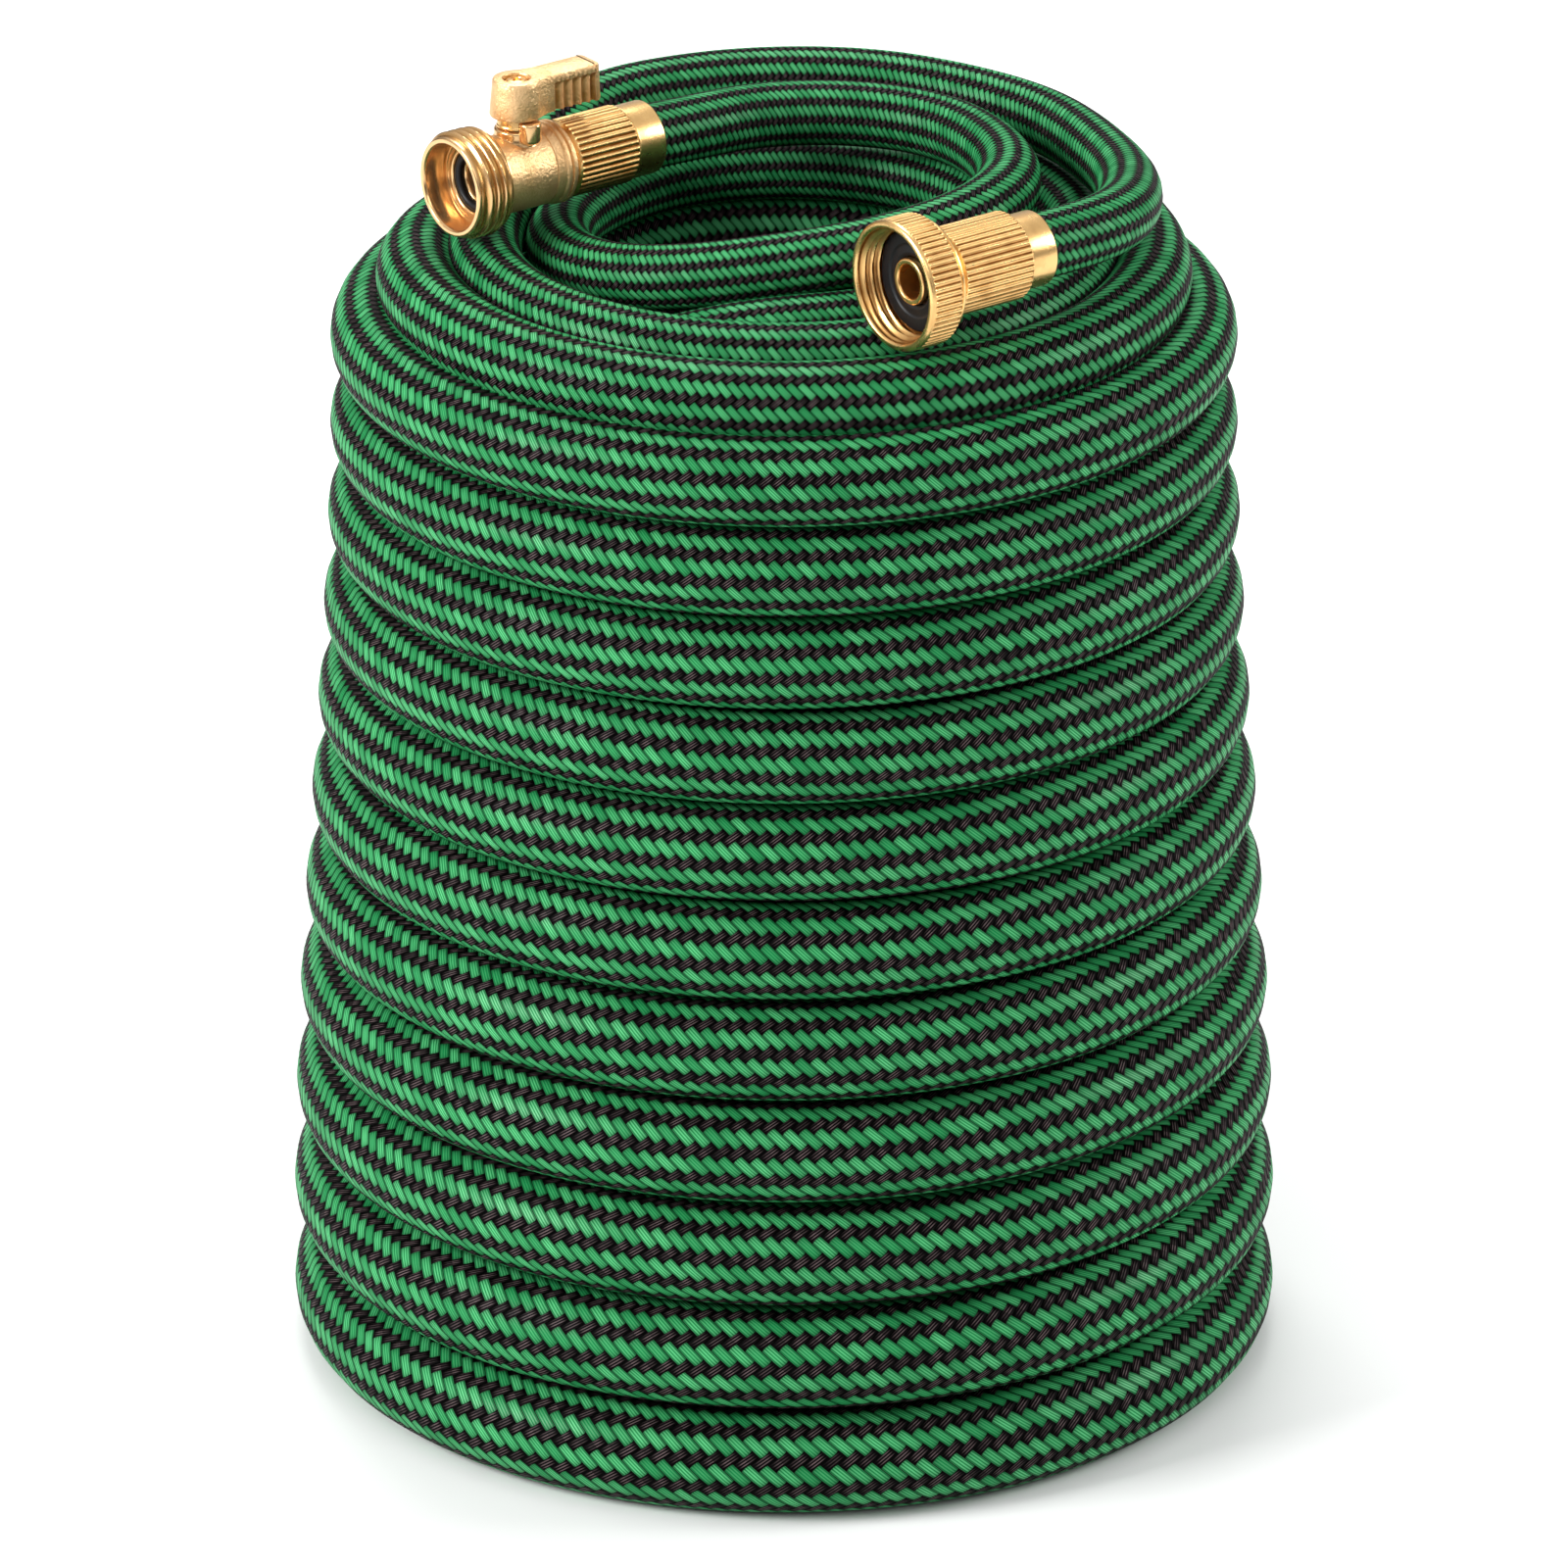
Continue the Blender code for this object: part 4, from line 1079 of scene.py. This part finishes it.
def makeCouplingStem():
    flange, flangeStart, flangeEnd = coupling["flange"]
    spigot, spigotStart = coupling["spigot"]
    collar, collarStart, collarEnd = coupling["collar"]
    neck, waterway = coupling["neck"], valve["waterway"]
    tail, tailLength = valve["tail"]
    tailEnd = coupling["sleeveStart"] + tailLength
    profile = [
        (waterway + 0.35, spigotStart, ""), (spigot - 0.3, spigotStart, ""), (spigot, spigotStart + 0.3, ""),
        (spigot, flangeStart, ""), (flange, flangeStart, ""), (flange, flangeEnd, ""), (neck, flangeEnd, ""),
        (neck, collarStart, ""), (collar - 0.5, collarStart, ""), (collar, collarStart + 0.6, ""),
        (collar, collarEnd - 0.5, ""), (collar - 0.4, collarEnd, ""), (tail, collarEnd, ""),
        (tail, tailEnd, ""), (waterway, tailEnd, ""), (waterway, spigotStart + 0.5, ""),
    ]
    return turnPiece("couplingStem", profile, roundSides["large"], couplingMouth, alongX, polishedBrass)


couplingSleeve = makeSleeve("couplingSleeve", sleeves["coupling"], coupling["sleeveStart"], couplingMouth)
couplingStem = makeCouplingStem()
swivelNut = makeNut()
rubberWasher = makeWasher()
for piece, node, body, slot in (
        (couplingSleeve, "coupling_sleeve", "hose", "polished_brass"),
        (couplingStem, "coupling_stem", "hose", "polished_brass"),
        (swivelNut, "swivel_nut", "nut", "polished_brass"),
        (rubberWasher, "rubber_washer", "nut", "rubber")):
    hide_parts(node)
    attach(piece, body)
print("coupling ready")

# Pale floor and soft studio light

studio = {
    "floorSize": 14.0,
    "floorColour": (0.86, 0.86, 0.86, 1),
    # brightness of the surroundings overhead, at the horizon and in dark strips
    "overhead": 0.80,
    "horizon": 0.50,
    "strips": 0.05,
    # place, size, power in watts
    "lamps": {
        "leftLight": ((-2.5, 0.6, 1.5), 1.1, 88.0),
        "rightLight": ((2.2, -1.5, 1.4), 1.0, 40.0),
        "frontLight": ((-1.5, -2.0, 2.2), 1.4, 12.0),
        "backLight": ((0.8, 1.3, 2.5), 1.3, 40.0),
    },
}


def makeWorld():
    world = bpy.data.worlds.new("studioWorld")
    bpy.context.scene.world = world
    world.use_nodes = True
    tree = world.node_tree
    place = tree.nodes.new("ShaderNodeTexCoord")
    split = tree.nodes.new("ShaderNodeSeparateXYZ")
    plug(tree, split.inputs[0], place.outputs["Generated"])
    height = split.outputs["Z"]
    rising = remap(tree, height, 0.05, 0.75, studio["horizon"], studio["overhead"])
    # dark strips stand round the horizon, as black flags do in a studio
    turn = calc(tree, "ARCTAN2", split.outputs["Y"], split.outputs["X"])
    strip = remap(tree, calc(tree, "SINE", calc(tree, "MULTIPLY", turn, 5.0)), 0.15, 0.45)
    strip = calc(tree, "MULTIPLY", strip, remap(tree, height, 0.70, 0.35))
    glow = calc(tree, "MULTIPLY_ADD", calc(tree, "SUBTRACT", studio["strips"], rising), strip, rising)
    seen = tree.nodes.new("ShaderNodeLightPath")
    glow = calc(tree, "MAXIMUM", glow, seen.outputs["Is Camera Ray"])
    plug(tree, tree.nodes["Background"].inputs["Strength"], glow)
    tree.nodes["Background"].inputs["Color"].default_value = (1, 1, 1, 1)


def makeStudio():
    bpy.ops.mesh.primitive_plane_add(size=studio["floorSize"])
    floor = bpy.context.object
    floor.name = "studioFloor"
    made, tree, shader = newMaterial("paleFloor")
    shader.inputs["Base Color"].default_value = studio["floorColour"]
    shader.inputs["Roughness"].default_value = 0.9
    floor.data.materials.append(made)
    makeWorld()
    for name, (place, size, power) in studio["lamps"].items():
        data = bpy.data.lights.new(name, "AREA")
        data.shape = "SQUARE"
        data.size = size
        data.energy = power
        lamp = bpy.data.objects.new(name, data)
        bpy.context.collection.objects.link(lamp)
        lamp.location = place
        lamp.rotation_euler = (Vector((0, 0, 0.15)) - Vector(place)).to_track_quat("-Z", "Y").to_euler()
    bpy.context.scene.view_settings.view_transform = "Standard"


makeStudio()
print("studio ready")
